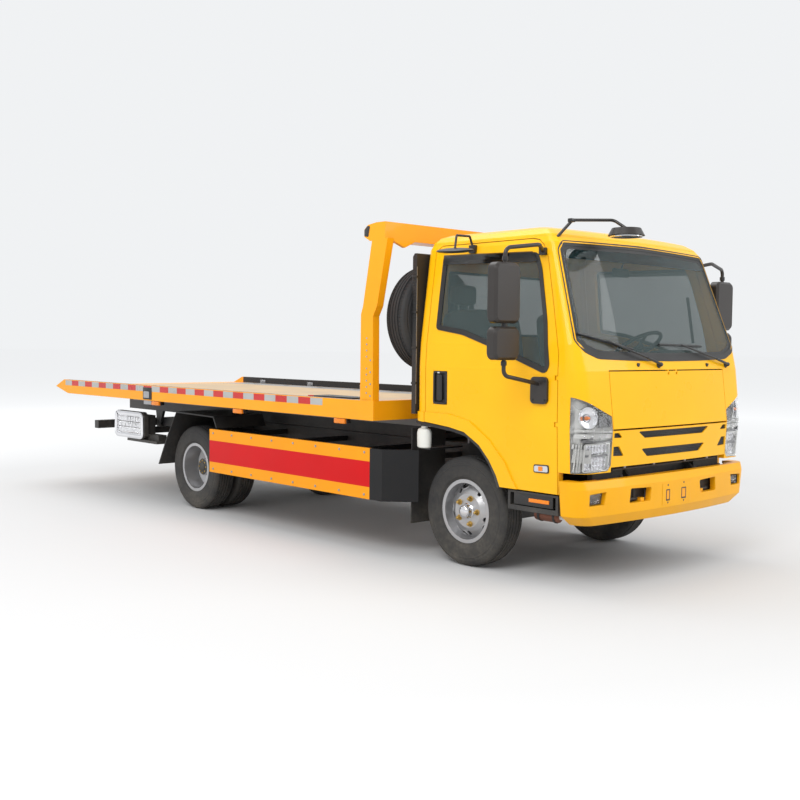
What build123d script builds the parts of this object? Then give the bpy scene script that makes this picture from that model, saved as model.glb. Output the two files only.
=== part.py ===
"""Flatbed tow truck: a cab-over chassis with a sliding, tilting recovery deck. Millimetres.

+X is forward, +Y is the vehicle's left and +Z is up. The origin is on the ground under the middle of
the whole vehicle. A body's outlines are short tables of points whose columns are named above them.
"""
import os
from math import cos, pi, sin

from build123d import *

os.makedirs("parts", exist_ok=True)

# Main lengths
WHEELBASE = 3360.0
FRONT_OVERHANG = 1140.0
REAR_OVERHANG = 2420.0
LENGTH = FRONT_OVERHANG + WHEELBASE + REAR_OVERHANG
AXLE = LENGTH / 2 - FRONT_OVERHANG  # the front axle's place along X
REAR = AXLE - WHEELBASE  # the rear axle's place
TAIL = -LENGTH / 2

# Clearances
RUN = 0.08  # a pin or shaft in its bore
SEAT = 0.3  # a piece beside the piece that carries it
GAP = 5.0  # between panels and between moving pieces

# Wheels
TYRE_R = 382.0
TYRE_W = 204.0
SEAT_R = 205.5
FLANGE_R = 222.0
RIM_W = 176.0
RIM_WALL = 9.0
BEAD_W = RIM_W - 2 * RIM_WALL
FRONT_TRACK = 1504.0
REAR_TRACK = 1425.0
DUAL_SPACING = 235.0
WHEEL_Z = TYRE_R
HUB_BORE_R = 22.0
DISC_R = 118.0
DISC_T = 10.0
DRUM_R = 150.0
HAND_HOLES = 5
HAND_HOLE_R = 17.0

# Chassis
RAIL_OUT = 375.0
RAIL_FLANGE = 60.0
RAIL_T = 8.0
RAIL_LOW = 620.0
RAIL_TOP = 795.0
RAIL_FRONT = AXLE + 960.0
RAIL_REAR = AXLE - 4560.0
AXLE_DROP = 45.0  # the beam axle's centre below the hub
KINGPIN_Y = 620.0
KINGPIN_R = 16.0
STEER_ARM = 170.0
TIE_ROD_R = 13.0
SPRING_W = 60.0

# Cab
WALL = 45.0
CAB_REAR = -385.0
REAR_CORNER_R = 60.0
SILL_Z = 604.0
CAB_LOW = 745.0
ROOF_LINE = 2190.0  # the roof's curve begins here
ROOF_SEAM = 2232.0  # the roof panel's lower edge
CAB_SECTIONS = (
    # height, nose at the middle, nose at the corner, half width, rear, front corner radius
    (560, 1098, 1064, 938, CAB_REAR, 125),
    (1010, 1122, 1089, 955, CAB_REAR, 128),
    (1376, 1085, 1037, 957, CAB_REAR, 108),
    (1540, 1035, 998, 948, CAB_REAR, 82),
    (2190, 815, 767, 862, CAB_REAR, 62),
    (2245, 770, 720, 837, CAB_REAR + 14, 64),
    (2280, 715, 662, 800, CAB_REAR + 40, 66),
    (2300, 640, 588, 745, CAB_REAR + 85, 68),
    (2310, 530, 478, 640, CAB_REAR + 190, 70),
)
TILT_X = 1030.0  # the cab's pivot, from the front axle
TILT_Z = 640.0
TILT_PIN_R = 14.0
HUMP_HALF = 450.0
HUMP_TOP = 1160.0
HUMP_T = 30.0
FLOOR_T = 40.0
FLOOR_LOW = 640.0
BACK_LOW = 998.0  # the rear wall's lower edge
SHUT = -286.0  # the door's rear shut line
PANEL_HALF = 668.0  # half the width of the service lid
GRILLE_HALF = PANEL_HALF + GAP - SEAT
GRILLE_LOW = 775.0
LID_LOW = 1014.0
LID_WALL = 24.0
LID_GAP = 10.0
LID_TOP = 1374.0
LID_EDGE = 1381.0  # the cowl's lower edge
LID_PIN_X = 1079.0
LID_PIN_Z = 1368.0
LID_PIN_R = 4.0
LAMP_DEPTH = WALL
LAMP_REAR = 983.0
GLASS_T = 6.0
GLASS_IN = 6.0
FLARE = 12.0  # how far the wheel arch's lip stands out
DOOR_CLEAR = 7.0  # room beside the doors' inner faces
HINGE_X = 874.0  # the doors' hinge line, from the front axle
HINGE_Y = 950.0
HINGE_HEIGHTS = (1030.0, 1320.0)
KNUCKLE_H = 24.0
KNUCKLE_R = 5.0
DOOR_PIN_R = 3.5
DOOR_PIN_REACH = 12.0
NOTCH = 12.0  # room around a hinge knuckle
NOTCH_GAP = 3.0

# Bumper
BUMPER_LOW = 417.0
BUMPER_TOP = 700.0
BUMPER_CORNER = 105.0
BUMPER_WALL = 40.0
BUMPER_REAR = 940.0
BUMPER_SECTIONS = (
    # height, nose at the middle, nose at the corner, half width
    (BUMPER_LOW, 1110, 1052, 880),
    (480, FRONT_OVERHANG, 1080, 972),
    (650, FRONT_OVERHANG, 1084, 992),
    (BUMPER_TOP, 1118, 1070, 998),
)

# Deck
DECK_HALF = 1150.0
DECK_FRONT = AXLE - 620.0
DECK_LOW = 983.0
DECK_TOP = 1060.0
DECK_T = 8.0
EDGE_TOP = 1125.0
EDGE_W = 50.0
TAIL_TOP_RUN = 193.0  # the tail's upper slope
TAIL_LOW_RUN = 286.0  # the tail's lower slope
TAIL_Z = 1050.0
BEAM_PITCH = 480.0
BEAM_W = 50.0
RUNNER_IN = 412.0
RUNNER_W = 40.0
RUNNER_LOW = 900.0

# Tilting frame
TILT_RAIL_OUT = 405.0
TILT_RAIL_W = 60.0
TILT_LOW = 803.0
TILT_TOP = 978.0
TILT_FRONT = AXLE - 760.0
TILT_REAR = AXLE - 5550.0
HINGE_BACK = -4930.0  # the deck's tilt hinge, from the front axle
HINGE_Z = 660.0
HINGE_PIN_R = 20.0
HINGE_LUG_R = 45.0

# Headboard
POST_T = 60.0
BEAM_LOW = 2262.0
BEAM_TOP = 2388.0
BEAM_REAR = -735.0
BEAM_FRONT = -510.0
POST_LINE = (
    # the headboard's post seen from the side: front edge upwards, then rear edge downwards
    (-627, EDGE_TOP), (-632, 1728), (-591, 1800), (-484, BEAM_LOW + 12),
    (-649, BEAM_LOW + 12), (-742, 1802), (-764, 1744), (-767, EDGE_TOP),
)

# Side skirts
SKIRT_OUT = 1080.0
SKIRT_T = 25.0
SKIRT_LOW = 400.0
SKIRT_TOP = 775.0
SKIRT_FRONT = -600.0
SKIRT_REAR = -2870.0

# Tilt cylinders and slide cylinder, placed from the front axle
RAM_Y = 240.0
RAM_R = 40.0
RAM_ROD_R = 24.0
RAM_BASE_X = -4100.0
RAM_BASE_Z = 520.0
RAM_BASE_R = 22.0
RAM_HANGER_IN = 300.0  # the inner faces of the tilt cylinders' hangers
RAM_TOP_X = -3350.0
RAM_TOP_Z = 860.0
RAM_TOP_R = 14.0
RAM_DRIFT = 11.0  # room in the rod's eye around its pin
SLIDE_R = 45.0
SLIDE_ROD_R = 30.0
SLIDE_Z = 890.0
SLIDE_FRONT = -1000.0
SLIDE_REAR = -4300.0
SLIDE_END = -4420.0

# Underlift, placed from the front axle
LIFT_X = -4350.0
LIFT_Z = 680.0
LIFT_PIN_R = 16.0
LIFT_HALF = 65.0
LIFT_H = 110.0
LIFT_WALL = 10.0
LIFT_END = -4975.0
BOOM_CLEAR = 0.5
CROSSBAR_X = -5050.0
CROSSBAR_W = 80.0
CROSSBAR_HALF = 1050.0
SOCKET_R = 15.0

SIDES = (("left", 1), ("right", -1))


def fa(x):
    """A place along X, given from the front axle."""
    return AXLE + x


def save(piece, name):
    piece.label = name
    export_step(piece, f"parts/{name}.step")


def slab(x0, x1, y0, y1, z0, z1, mode=Mode.ADD):
    """A box between its faces, in the part being built."""
    with Locations(((x0 + x1) / 2, (y0 + y1) / 2, (z0 + z1) / 2)):
        Box(abs(x1 - x0), abs(y1 - y0), abs(z1 - z0), mode=mode)


def rod_y(x, z, radius, y0, y1, mode=Mode.ADD):
    """A round bar along Y."""
    with Locations((x, (y0 + y1) / 2, z)):
        Cylinder(radius, abs(y1 - y0), rotation=(90, 0, 0), mode=mode)


def rod_z(x, y, radius, z0, z1, mode=Mode.ADD):
    """A round bar along Z."""
    with Locations((x, y, (z0 + z1) / 2)):
        Cylinder(radius, abs(z1 - z0), mode=mode)


def rod_x(y, z, radius, x0, x1, mode=Mode.ADD):
    """A round bar along X."""
    with Locations(((x0 + x1) / 2, y, z)):
        Cylinder(radius, abs(x1 - x0), rotation=(0, 90, 0), mode=mode)


def prism(plane, outline, depth, corner=0.0, grow=0.0):
    """A prism of a closed outline, its corners rounded and the outline grown."""
    with BuildPart(mode=Mode.PRIVATE) as block:
        with BuildSketch(plane) as face:
            with BuildLine():
                Polyline(*outline, close=True)
            make_face()
            if corner:
                fillet(face.vertices(), corner)
            if grow:
                offset(amount=grow, kind=Kind.INTERSECTION)
        extrude(amount=depth)
    return block.part


def side_prism(outline, y0, y1, corner=0.0, grow=0.0):
    """A prism of an outline in X and Z, between two places along Y."""
    low, high = min(y0, y1), max(y0, y1)
    return prism(Plane.XZ.offset(-high), outline, high - low, corner, grow)


def front_prism(outline, x0, x1, corner=0.0, grow=0.0):
    """A prism of an outline in Y and Z, between two places along X."""
    return prism(Plane.YZ.offset(x0), outline, x1 - x0, corner, grow)


def tube(points, bend, radius):
    """A round tube along straight runs joined by arcs."""
    with BuildPart(mode=Mode.PRIVATE) as pipe:
        with BuildLine() as path:
            FilletPolyline(*points, radius=bend)
        with BuildSketch(Plane(path.wires()[0] @ 0, z_dir=path.wires()[0] % 0)):
            Circle(radius)
        sweep(path=path.wires()[0])
    return pipe.part


# ---------------------------------------------------------------- wheels
TYRE_SECTION = (
    # radius, half width
    (SEAT_R + SEAT, BEAD_W / 2 - SEAT),
    (FLANGE_R + 1, BEAD_W / 2 - SEAT),
    (290, TYRE_W / 2),
    (350, TYRE_W / 2 - 4),
    (TYRE_R - 9, TYRE_W / 2 - 18),
    (TYRE_R, TYRE_W / 2 - 46),
)
FRONT_DISC = ((SEAT_R - RIM_WALL, 5), (150, 44), (DISC_R, 64), (HUB_BORE_R + 2, 64))
DISH = DISC_T - DUAL_SPACING / 2
REAR_DISC = ((SEAT_R - RIM_WALL, -62), (150, -92), (DISC_R, DISH), (30, DISH))


def tyre_at(y, centre_x, centre_z):
    """A tyre around a line along Y, its middle at y."""
    outline = [(r, y + w) for r, w in TYRE_SECTION]
    outline += [(r, y - w) for r, w in reversed(TYRE_SECTION)]
    with BuildPart(mode=Mode.PRIVATE) as ring:
        with BuildSketch(Plane((centre_x, 0, centre_z), x_dir=(0, 0, 1), z_dir=(-1, 0, 0))):
            with BuildLine():
                Polyline(*outline, close=True)
            make_face()
        revolve(axis=Axis((centre_x, 0, centre_z), (0, 1, 0)))
    return ring.part


def rim_at(y, side, centre_x, centre_z, disc):
    """A rim around a line along Y: barrel, two flanges and a pressed disc with hand holes."""
    inner = SEAT_R - RIM_WALL
    barrel = [
        (inner, -RIM_W / 2), (FLANGE_R, -RIM_W / 2), (FLANGE_R, -BEAD_W / 2), (SEAT_R, -BEAD_W / 2),
        (SEAT_R, BEAD_W / 2), (FLANGE_R, BEAD_W / 2), (FLANGE_R, RIM_W / 2), (inner, RIM_W / 2),
    ]
    pressed = [(r, w) for r, w in disc] + [(r, w - DISC_T) for r, w in reversed(disc)]
    pressed[0] = (SEAT_R - 2, disc[0][1])
    pressed[-1] = (SEAT_R - 2, disc[0][1] - DISC_T)
    with BuildPart(mode=Mode.PRIVATE) as rim:
        with BuildSketch(Plane((centre_x, 0, centre_z), x_dir=(0, 0, 1), z_dir=(-1, 0, 0))):
            for outline in (barrel, pressed):
                with BuildLine():
                    Polyline(*[(r, y + side * w) for r, w in outline], close=True)
                make_face()
        revolve(axis=Axis((centre_x, 0, centre_z), (0, 1, 0)))
        ring_r = (inner + DISC_R) / 2
        for n in range(HAND_HOLES):
            turn = 2 * pi * (n + 0.5) / HAND_HOLES
            with Locations((centre_x + ring_r * sin(turn), y, centre_z + ring_r * cos(turn))):
                Cylinder(HAND_HOLE_R, 2 * DUAL_SPACING, rotation=(90, 0, 0), mode=Mode.SUBTRACT)
    return rim.part


FRONT_Y = FRONT_TRACK / 2
REAR_Y = REAR_TRACK / 2
OUTER_Y = REAR_Y + DUAL_SPACING / 2
INNER_Y = REAR_Y - DUAL_SPACING / 2
FRONT_HUB_IN = FRONT_Y - 66
REAR_HUB_R = 80.0
REAR_SPINDLE_R = 38.0
CAP_R = 48.0

for name, side in SIDES:
    with BuildPart() as front_tyre:
        add(tyre_at(side * FRONT_Y, AXLE, WHEEL_Z))
    save(front_tyre.part, f"tyre_front_{name}")

    with BuildPart() as front_rim:
        add(rim_at(side * FRONT_Y, side, AXLE, WHEEL_Z, FRONT_DISC))
        rod_y(AXLE, WHEEL_Z, 62, side * FRONT_HUB_IN, side * (FRONT_Y + 64 - DISC_T / 2))
        rod_y(AXLE, WHEEL_Z, CAP_R, side * (FRONT_Y + 60), side * (FRONT_Y + RIM_W / 2 + 14))
        rod_y(AXLE, WHEEL_Z, DRUM_R, side * FRONT_HUB_IN, side * (FRONT_HUB_IN + 55))
        bore_end = FRONT_Y + 40
        rod_y(AXLE, WHEEL_Z, HUB_BORE_R + RUN, side * (FRONT_HUB_IN - 1), side * bore_end, Mode.SUBTRACT)
    save(front_rim.part, f"rim_front_{name}")

    with BuildPart() as rear_tyres:
        for y in (INNER_Y, OUTER_Y):
            add(tyre_at(side * y, REAR, WHEEL_Z))
    save(rear_tyres.part, f"tyres_rear_{name}")

    with BuildPart() as rear_rims:
        add(rim_at(side * OUTER_Y, side, REAR, WHEEL_Z, REAR_DISC))
        add(rim_at(side * INNER_Y, -side, REAR, WHEEL_Z, REAR_DISC))
        rod_y(REAR, WHEEL_Z, DISC_R - 6, side * (REAR_Y - 2 * DISC_T), side * (REAR_Y + DISC_T + 6))
        rod_y(REAR, WHEEL_Z, REAR_HUB_R, side * (REAR_Y - 30), side * (OUTER_Y + 8))
        rod_y(REAR, WHEEL_Z, DRUM_R, side * (INNER_Y - 40), side * (REAR_Y - 2 * DISC_T))
        rod_y(REAR, WHEEL_Z, REAR_SPINDLE_R + RUN, side * (INNER_Y - 41), side * (REAR_Y + 40), Mode.SUBTRACT)
    save(rear_rims.part, f"rims_rear_{name}")

# ---------------------------------------------------------------- axles, knuckles, steering, springs
BEAM_Z = WHEEL_Z - AXLE_DROP
EYE_R = 36.0
EYE_H = 84.0
BEAM_AXLE_H = 74.0
BEAM_AXLE_W = 64.0
DIFF_R = 165.0
TUBE_R = 52.0
BACK_PLATE_R = 140.0

with BuildPart() as axles:
    slab(AXLE - BEAM_AXLE_W / 2, AXLE + BEAM_AXLE_W / 2, -480, 480, BEAM_Z - 60, BEAM_Z - 60 + BEAM_AXLE_H)
    for name, side in SIDES:
        rise = [(side * 470, BEAM_Z - 60), (side * 470, BEAM_Z + 14), (side * 590, BEAM_Z + 36)]
        rise += [(side * KINGPIN_Y, BEAM_Z + 36), (side * KINGPIN_Y, BEAM_Z - 36), (side * 590, BEAM_Z - 36)]
        add(front_prism(rise, AXLE - BEAM_AXLE_W / 2, AXLE + BEAM_AXLE_W / 2))
        rod_z(AXLE, side * KINGPIN_Y, EYE_R, BEAM_Z - EYE_H / 2, BEAM_Z + EYE_H / 2)
        rod_z(AXLE, side * KINGPIN_Y, KINGPIN_R + RUN, BEAM_Z - EYE_H, BEAM_Z + EYE_H, Mode.SUBTRACT)
        with Locations((AXLE, side * 375, BEAM_Z + 14 + 5)):
            Box(110, SPRING_W + 20, 10)
    rod_y(REAR, WHEEL_Z, TUBE_R, -(INNER_Y - 60), INNER_Y - 60)
    with Locations((REAR, 0, WHEEL_Z)):
        Cylinder(DIFF_R, 190, rotation=(90, 0, 0))
    rod_x(0, WHEEL_Z, 70, REAR, REAR + 260)
    for name, side in SIDES:
        rod_y(REAR, WHEEL_Z, BACK_PLATE_R, side * (INNER_Y - 60), side * (INNER_Y - 46))
        rod_y(REAR, WHEEL_Z, REAR_SPINDLE_R, side * (INNER_Y - 60), side * (REAR_Y + 35))
        with Locations((REAR, side * 435, WHEEL_Z + TUBE_R + 4)):
            Box(120, SPRING_W + 10, 20)
save(axles.part, "axles")

YOKE_T = 22.0
for name, side in SIDES:
    with BuildPart() as knuckle:
        rod_z(AXLE, side * KINGPIN_Y, KINGPIN_R, BEAM_Z - EYE_H / 2 - YOKE_T - 3, BEAM_Z + EYE_H / 2 + YOKE_T + 3)
        for level in (-1, 1):
            ear = BEAM_Z + level * (EYE_H / 2 + YOKE_T / 2 + 1)
            rod_z(AXLE, side * KINGPIN_Y, EYE_R - 2, ear - YOKE_T / 2, ear + YOKE_T / 2)
            slab(AXLE - 30, AXLE + 30, side * KINGPIN_Y, side * 678, ear - YOKE_T / 2, ear + YOKE_T / 2)
        slab(AXLE - 40, AXLE + 40, side * 659, side * 680, BEAM_Z - 72, WHEEL_Z + 60)
        rod_y(AXLE, WHEEL_Z, HUB_BORE_R, side * 659, side * (FRONT_Y + 35))
        arm_z = BEAM_Z - EYE_H / 2 - YOKE_T / 2 - 1
        slab(AXLE - STEER_ARM - 10, AXLE - 10, side * (KINGPIN_Y - 18), side * (KINGPIN_Y + 18), arm_z - 9, arm_z + 9)
        rod_z(AXLE - STEER_ARM, side * KINGPIN_Y, 22, arm_z - 9, arm_z + 9)
        rod_z(AXLE - STEER_ARM, side * KINGPIN_Y, 9 + RUN, arm_z - 20, arm_z + 20, Mode.SUBTRACT)
    save(knuckle.part, f"knuckle_{name}")

with BuildPart() as tie_rod:
    rod_z_top = arm_z + 12
    rod_y(AXLE - STEER_ARM, arm_z - 28, TIE_ROD_R, -KINGPIN_Y, KINGPIN_Y)
    for name, side in SIDES:
        rod_z(AXLE - STEER_ARM, side * KINGPIN_Y, 18, arm_z - 44, arm_z - 12)
        rod_z(AXLE - STEER_ARM, side * KINGPIN_Y, 9, arm_z - 30, rod_z_top)
save(tie_rod.part, "tie_rod")

SPRINGS = (
    # axle place, middle across, half length, seat height, eye height, leaves, hanger's inner side, hanger's top
    (AXLE, 375.0, 560.0, BEAM_Z + 24, 560.0, 3, 349.0, RAIL_LOW),
    (REAR, 435.0, 620.0, WHEEL_Z + TUBE_R + 14, 570.0, 5, RAIL_OUT, RAIL_LOW + 60),
)
LEAF_T = 14.0
with BuildPart() as leaf_springs:
    for place, across, half, seat, eye, leaves, inner, top in SPRINGS:
        for name, side in SIDES:
            for n in range(leaves):
                span = half * (1 - 0.17 * n)
                low = seat + LEAF_T * (leaves - 1 - n)
                rise = (eye - low - LEAF_T * n) * (span / half) ** 2
                curve = [(place - span, low + rise), (place - span * 0.5, low + rise * 0.27), (place - 60, low)]
                curve += [(place + 60, low), (place + span * 0.5, low + rise * 0.27), (place + span, low + rise)]
                curve += [(x, z + LEAF_T) for x, z in reversed(curve)]
                y0 = side * across - SPRING_W / 2
                add(side_prism(curve, y0, y0 + SPRING_W))
            for end in (-1, 1):
                pin = place + end * half
                rod_y(pin, eye + LEAF_T / 2, 20, side * across - SPRING_W / 2, side * across + SPRING_W / 2)
                slab(pin - 15, pin + 15, side * inner, side * (across + 26), eye, top)
save(leaf_springs.part, "leaf_springs")

# ---------------------------------------------------------------- chassis frame
CROSS = (
    # from the front axle, width along X, low, top
    (930, 60, 630, 780),
    (-1320, 60, 700, 780),
    (-2200, 60, 700, 780),
    (-3050, 60, 700, 780),
    (-4240, 70, 630, 770),
)
MOUNT_X = -345.0  # the cab's rear mount
MOUNT_HALF = 520.0
MOUNT_BEAM = 950.0  # the underside of the mount's beam
HOOK_IN = 330.0  # the inner faces of the deck's hinge brackets
with BuildPart() as chassis_frame:
    for name, side in SIDES:
        channel = [(side * RAIL_OUT, RAIL_LOW), (side * (RAIL_OUT - RAIL_FLANGE), RAIL_LOW)]
        channel += [(side * (RAIL_OUT - RAIL_FLANGE), RAIL_LOW + RAIL_T), (side * (RAIL_OUT - RAIL_T), RAIL_LOW + RAIL_T)]
        channel += [(side * (RAIL_OUT - RAIL_T), RAIL_TOP - RAIL_T), (side * (RAIL_OUT - RAIL_FLANGE), RAIL_TOP - RAIL_T)]
        channel += [(side * (RAIL_OUT - RAIL_FLANGE), RAIL_TOP), (side * RAIL_OUT, RAIL_TOP)]
        add(front_prism(channel, RAIL_REAR, RAIL_FRONT))
        # the cab's pivot bracket and its pin
        ear = [(fa(850), RAIL_LOW), (fa(850), RAIL_TOP - 20), (fa(940), RAIL_TOP - 20)]
        ear += [(fa(TILT_X + 30), TILT_Z + 26), (fa(TILT_X + 30), TILT_Z - 30), (fa(940), RAIL_LOW)]
        add(side_prism(ear, side * (RAIL_OUT - RAIL_T), side * (RAIL_OUT + 14)))
        rod_y(fa(TILT_X), TILT_Z, TILT_PIN_R, side * (RAIL_OUT - 20), side * (HUMP_HALF + 6))
        # the cab's rear mount
        slab(fa(MOUNT_X - 25), fa(MOUNT_X + 25), side * 330, side * 380, RAIL_TOP - 60, MOUNT_BEAM - SEAT)
        # the deck's hinge bracket and its pin
        hook = [(fa(-4250), RAIL_LOW + 10), (fa(-4250), RAIL_TOP - 10), (RAIL_REAR, RAIL_TOP - 20)]
        hook += [(fa(HINGE_BACK - 20), HINGE_Z + 42), (fa(HINGE_BACK - 20), HINGE_Z - 42), (RAIL_REAR, RAIL_LOW - 30)]
        add(side_prism(hook, side * HOOK_IN, side * (RAIL_OUT - RAIL_T)))
        rod_y(fa(HINGE_BACK), HINGE_Z, HINGE_LUG_R - 3, side * HOOK_IN, side * 352)
        rod_y(fa(HINGE_BACK), HINGE_Z, HINGE_PIN_R, side * 320, side * 408)
    # the cross-members, seated between the rails' webs, and the last one between the hinge brackets
    for place, width, low, top in CROSS:
        end = (HOOK_IN if place == CROSS[-1][0] else RAIL_OUT - RAIL_T) - SEAT
        slab(fa(place) - width / 2, fa(place) + width / 2, -end, end, low, top)
    slab(fa(MOUNT_X - 30), fa(MOUNT_X), -MOUNT_HALF, MOUNT_HALF, MOUNT_BEAM, BACK_LOW - SEAT)
    for name, side in SIDES:
        slab(fa(-4400), fa(-4250), side * 80, side * 120, 640, 730)
    rod_y(fa(LIFT_X), LIFT_Z, LIFT_PIN_R, -122, 122)
    # hangers of the tilt cylinders' cross tube
    for name, side in SIDES:
        slab(fa(RAM_BASE_X - 60), fa(RAM_BASE_X + 60), side * RAM_HANGER_IN, side * (RAM_HANGER_IN + 25),
             RAM_BASE_Z - 34, RAIL_LOW + 40)
    # the cross tube, seated between the hangers
    rod_y(fa(RAM_BASE_X), RAM_BASE_Z, RAM_BASE_R, -RAM_HANGER_IN + SEAT, RAM_HANGER_IN - SEAT)
save(chassis_frame.part, "chassis_frame")

# ---------------------------------------------------------------- engine, tank, side guards
GEARBOX_REAR = -1180.0
SHAFT_R = 45.0
SHAFT_Z = 640.0
shaft_x = REAR + 262 - fa(GEARBOX_REAR)
shaft_z = WHEEL_Z - SHAFT_Z
SHAFT_LENGTH = (shaft_x ** 2 + shaft_z ** 2) ** 0.5
SHAFT_RUN = (shaft_x / SHAFT_LENGTH, 0, shaft_z / SHAFT_LENGTH)
SHAFT_START = (SHAFT_R * abs(SHAFT_RUN[2]) + SEAT) / abs(SHAFT_RUN[0])  # its lower edge just clears the gearbox
with BuildPart() as engine:
    slab(fa(-300), fa(400), -265, 265, 470, 1070)
    slab(fa(GEARBOX_REAR), fa(-300), -170, 170, 500, 780)
    for name, side in SIDES:
        slab(fa(-130), fa(-70), side * 255, side * (RAIL_OUT - RAIL_T - SEAT), 645, 680)
    # the propeller shaft, seated behind the gearbox and ending short of the rear axle's nose
    with BuildSketch(Plane((fa(GEARBOX_REAR) + SHAFT_RUN[0] * SHAFT_START, 0, SHAFT_Z + SHAFT_RUN[2] * SHAFT_START),
                           z_dir=SHAFT_RUN)):
        Circle(SHAFT_R)
    extrude(amount=SHAFT_LENGTH - SHAFT_START - 8)
save(engine.part, "engine")

with BuildPart() as fuel_tank:
    slab(fa(-2350), fa(-1450), 470, 930, 400, 700)
    fillet(fuel_tank.edges().filter_by(Axis.X), 40)
    for x in (-2250, -1550):
        slab(fa(x - 25), fa(x + 25), RAIL_OUT, 480, 560, 700)
save(fuel_tank.part, "fuel_tank")

SKIRT_POSTS = (-1000, -1850, -2700)
with BuildPart() as side_skirts:
    for name, side in SIDES:
        slab(fa(SKIRT_REAR), fa(-730), side * (SKIRT_OUT - SKIRT_T), side * SKIRT_OUT, SKIRT_LOW, SKIRT_TOP)
        end = [(fa(-730), side * SKIRT_OUT), (fa(SKIRT_FRONT), side * SKIRT_OUT), (fa(-415), side * 890)]
        end += [(fa(-440), side * 870), (fa(SKIRT_FRONT - 12), side * (SKIRT_OUT - SKIRT_T))]
        end += [(fa(-730), side * (SKIRT_OUT - SKIRT_T))]
        add(prism(Plane.XY.offset(SKIRT_LOW), end, SKIRT_TOP - SKIRT_LOW))
        for x in SKIRT_POSTS:
            slab(fa(x - 20), fa(x + 20), side * RAIL_OUT, side * (SKIRT_OUT - SKIRT_T + 2), 712, 752)
save(side_skirts.part, "side_skirts")

FLAP_X = -478.0
REAR_GUARD = (
    # outer edge from the front axle, and height
    (-2880, 775), (-2935, 878), (-3560, 890), (-3735, 640), (-3890, 370),
)
with BuildPart() as mudguards:
    for name, side in SIDES:
        outer = [(fa(x), z) for x, z in REAR_GUARD]
        inner = [(fa(x + 14), z) for x, z in REAR_GUARD[2:]]
        rise = [(fa(REAR_GUARD[0][0] - 12), 775), (fa(REAR_GUARD[1][0] - 6), 866), (fa(REAR_GUARD[2][0] - 6), 876)]
        inner = rise + inner[1:]
        add(side_prism(outer + inner[::-1], side * 475, side * 1000))
        slab(fa(-3260), fa(-3220), side * RAIL_OUT, side * 488, 700, 780)
        slab(fa(-3260), fa(-3220), side * 475, side * 488, 700, 872)
        flap = [(fa(FLAP_X), 930), (fa(FLAP_X - 8), 930), (fa(FLAP_X - 8), 240), (fa(FLAP_X), 240)]
        add(side_prism(flap, side * 560, side * 900))
        slab(fa(FLAP_X - 40), fa(FLAP_X - 8), side * RAIL_OUT, side * 620, 690, 730)
save(mudguards.part, "mudguards")

with BuildPart() as cab_steps:
    for name, side in SIDES:
        slab(fa(470), fa(885), side * 600, side * 930, 468, 594)
        slab(fa(490), fa(865), side * 620, side * 960, 500, 580, Mode.SUBTRACT)
        for x in (630, 800):
            slab(fa(x), fa(x + 40), side * (RAIL_OUT + 2), side * 610, 560, 594)
            slab(fa(x), fa(x + 40), side * RAIL_OUT, side * (RAIL_OUT + 20), 560, 650)
save(cab_steps.part, "cab_steps")

# ---------------------------------------------------------------- bumper
def wrapped(sections, inset, rear, corner):
    """A shell form: horizontal outlines with an arched nose, lofted upwards."""
    with BuildPart(mode=Mode.PRIVATE) as form:
        for height, nose, edge, half in sections:
            with BuildSketch(Plane.XY.offset(height)) as outline:
                with BuildLine():
                    side_y = half - inset
                    ThreePointArc((fa(edge - inset), -side_y), (fa(nose - inset), 0), (fa(edge - inset), side_y))
                    Polyline((fa(edge - inset), side_y), (fa(rear), side_y), (fa(rear), -side_y), (fa(edge - inset), -side_y))
                make_face()
                fillet(outline.vertices().group_by(Axis.X)[-1], max(corner - inset, 15))
        loft(ruled=True)
    return form.part


PLATE_PITCH = 210.0
PLATE_HOLE_R = 3.5
PLATE_Z = 560.0
PAD_HALF = 168.0  # the number plate's pad
PAD_LOW = 495.0
PAD_TOP = 635.0
TOW_OPENING = ((286, 625), (500, 632), (511, 538), (300, 538))
FOG_RECESS = ((735, 628), (885, 620), (885, 549), (750, 549))
FOG_FLOOR = 1066.0
with BuildPart() as bumper:
    add(wrapped(BUMPER_SECTIONS, 0, BUMPER_REAR, BUMPER_CORNER))
    inner_rows = [(z, nose, edge, half) for z, nose, edge, half in BUMPER_SECTIONS]
    inner_rows[0] = (BUMPER_LOW - 20,) + inner_rows[0][1:]
    inner_rows[-1] = (BUMPER_TOP - 18,) + inner_rows[-1][1:]
    add(wrapped(inner_rows, BUMPER_WALL, BUMPER_REAR - 30, BUMPER_CORNER), mode=Mode.SUBTRACT)
    slab(fa(BUMPER_REAR - 50), fa(1030), -905, 905, BUMPER_TOP - 19, BUMPER_TOP + 5, Mode.SUBTRACT)
    slab(fa(1020), fa(1058), -760, 760, BUMPER_TOP - 19, BUMPER_TOP + 5, Mode.SUBTRACT)
    for name, side in SIDES:
        add(front_prism([(side * y, z) for y, z in TOW_OPENING], fa(1000), fa(1200), 12), mode=Mode.SUBTRACT)
        add(front_prism([(side * y, z) for y, z in FOG_RECESS], fa(FOG_FLOOR), fa(1200)), mode=Mode.SUBTRACT)
        slab(RAIL_FRONT, fa(1110), side * 330, side * 370, 500, 560)
        slab(fa(900), RAIL_FRONT + 20, side * 330, side * 366, 500, RAIL_LOW)
    slab(fa(1125), fa(FRONT_OVERHANG), -PAD_HALF, PAD_HALF, PAD_LOW, PAD_TOP)
    for name, side in SIDES:
        rod_x(side * PLATE_PITCH / 2, PLATE_Z, PLATE_HOLE_R, fa(1000), fa(1200), Mode.SUBTRACT)
save(bumper.part, "bumper")

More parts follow.
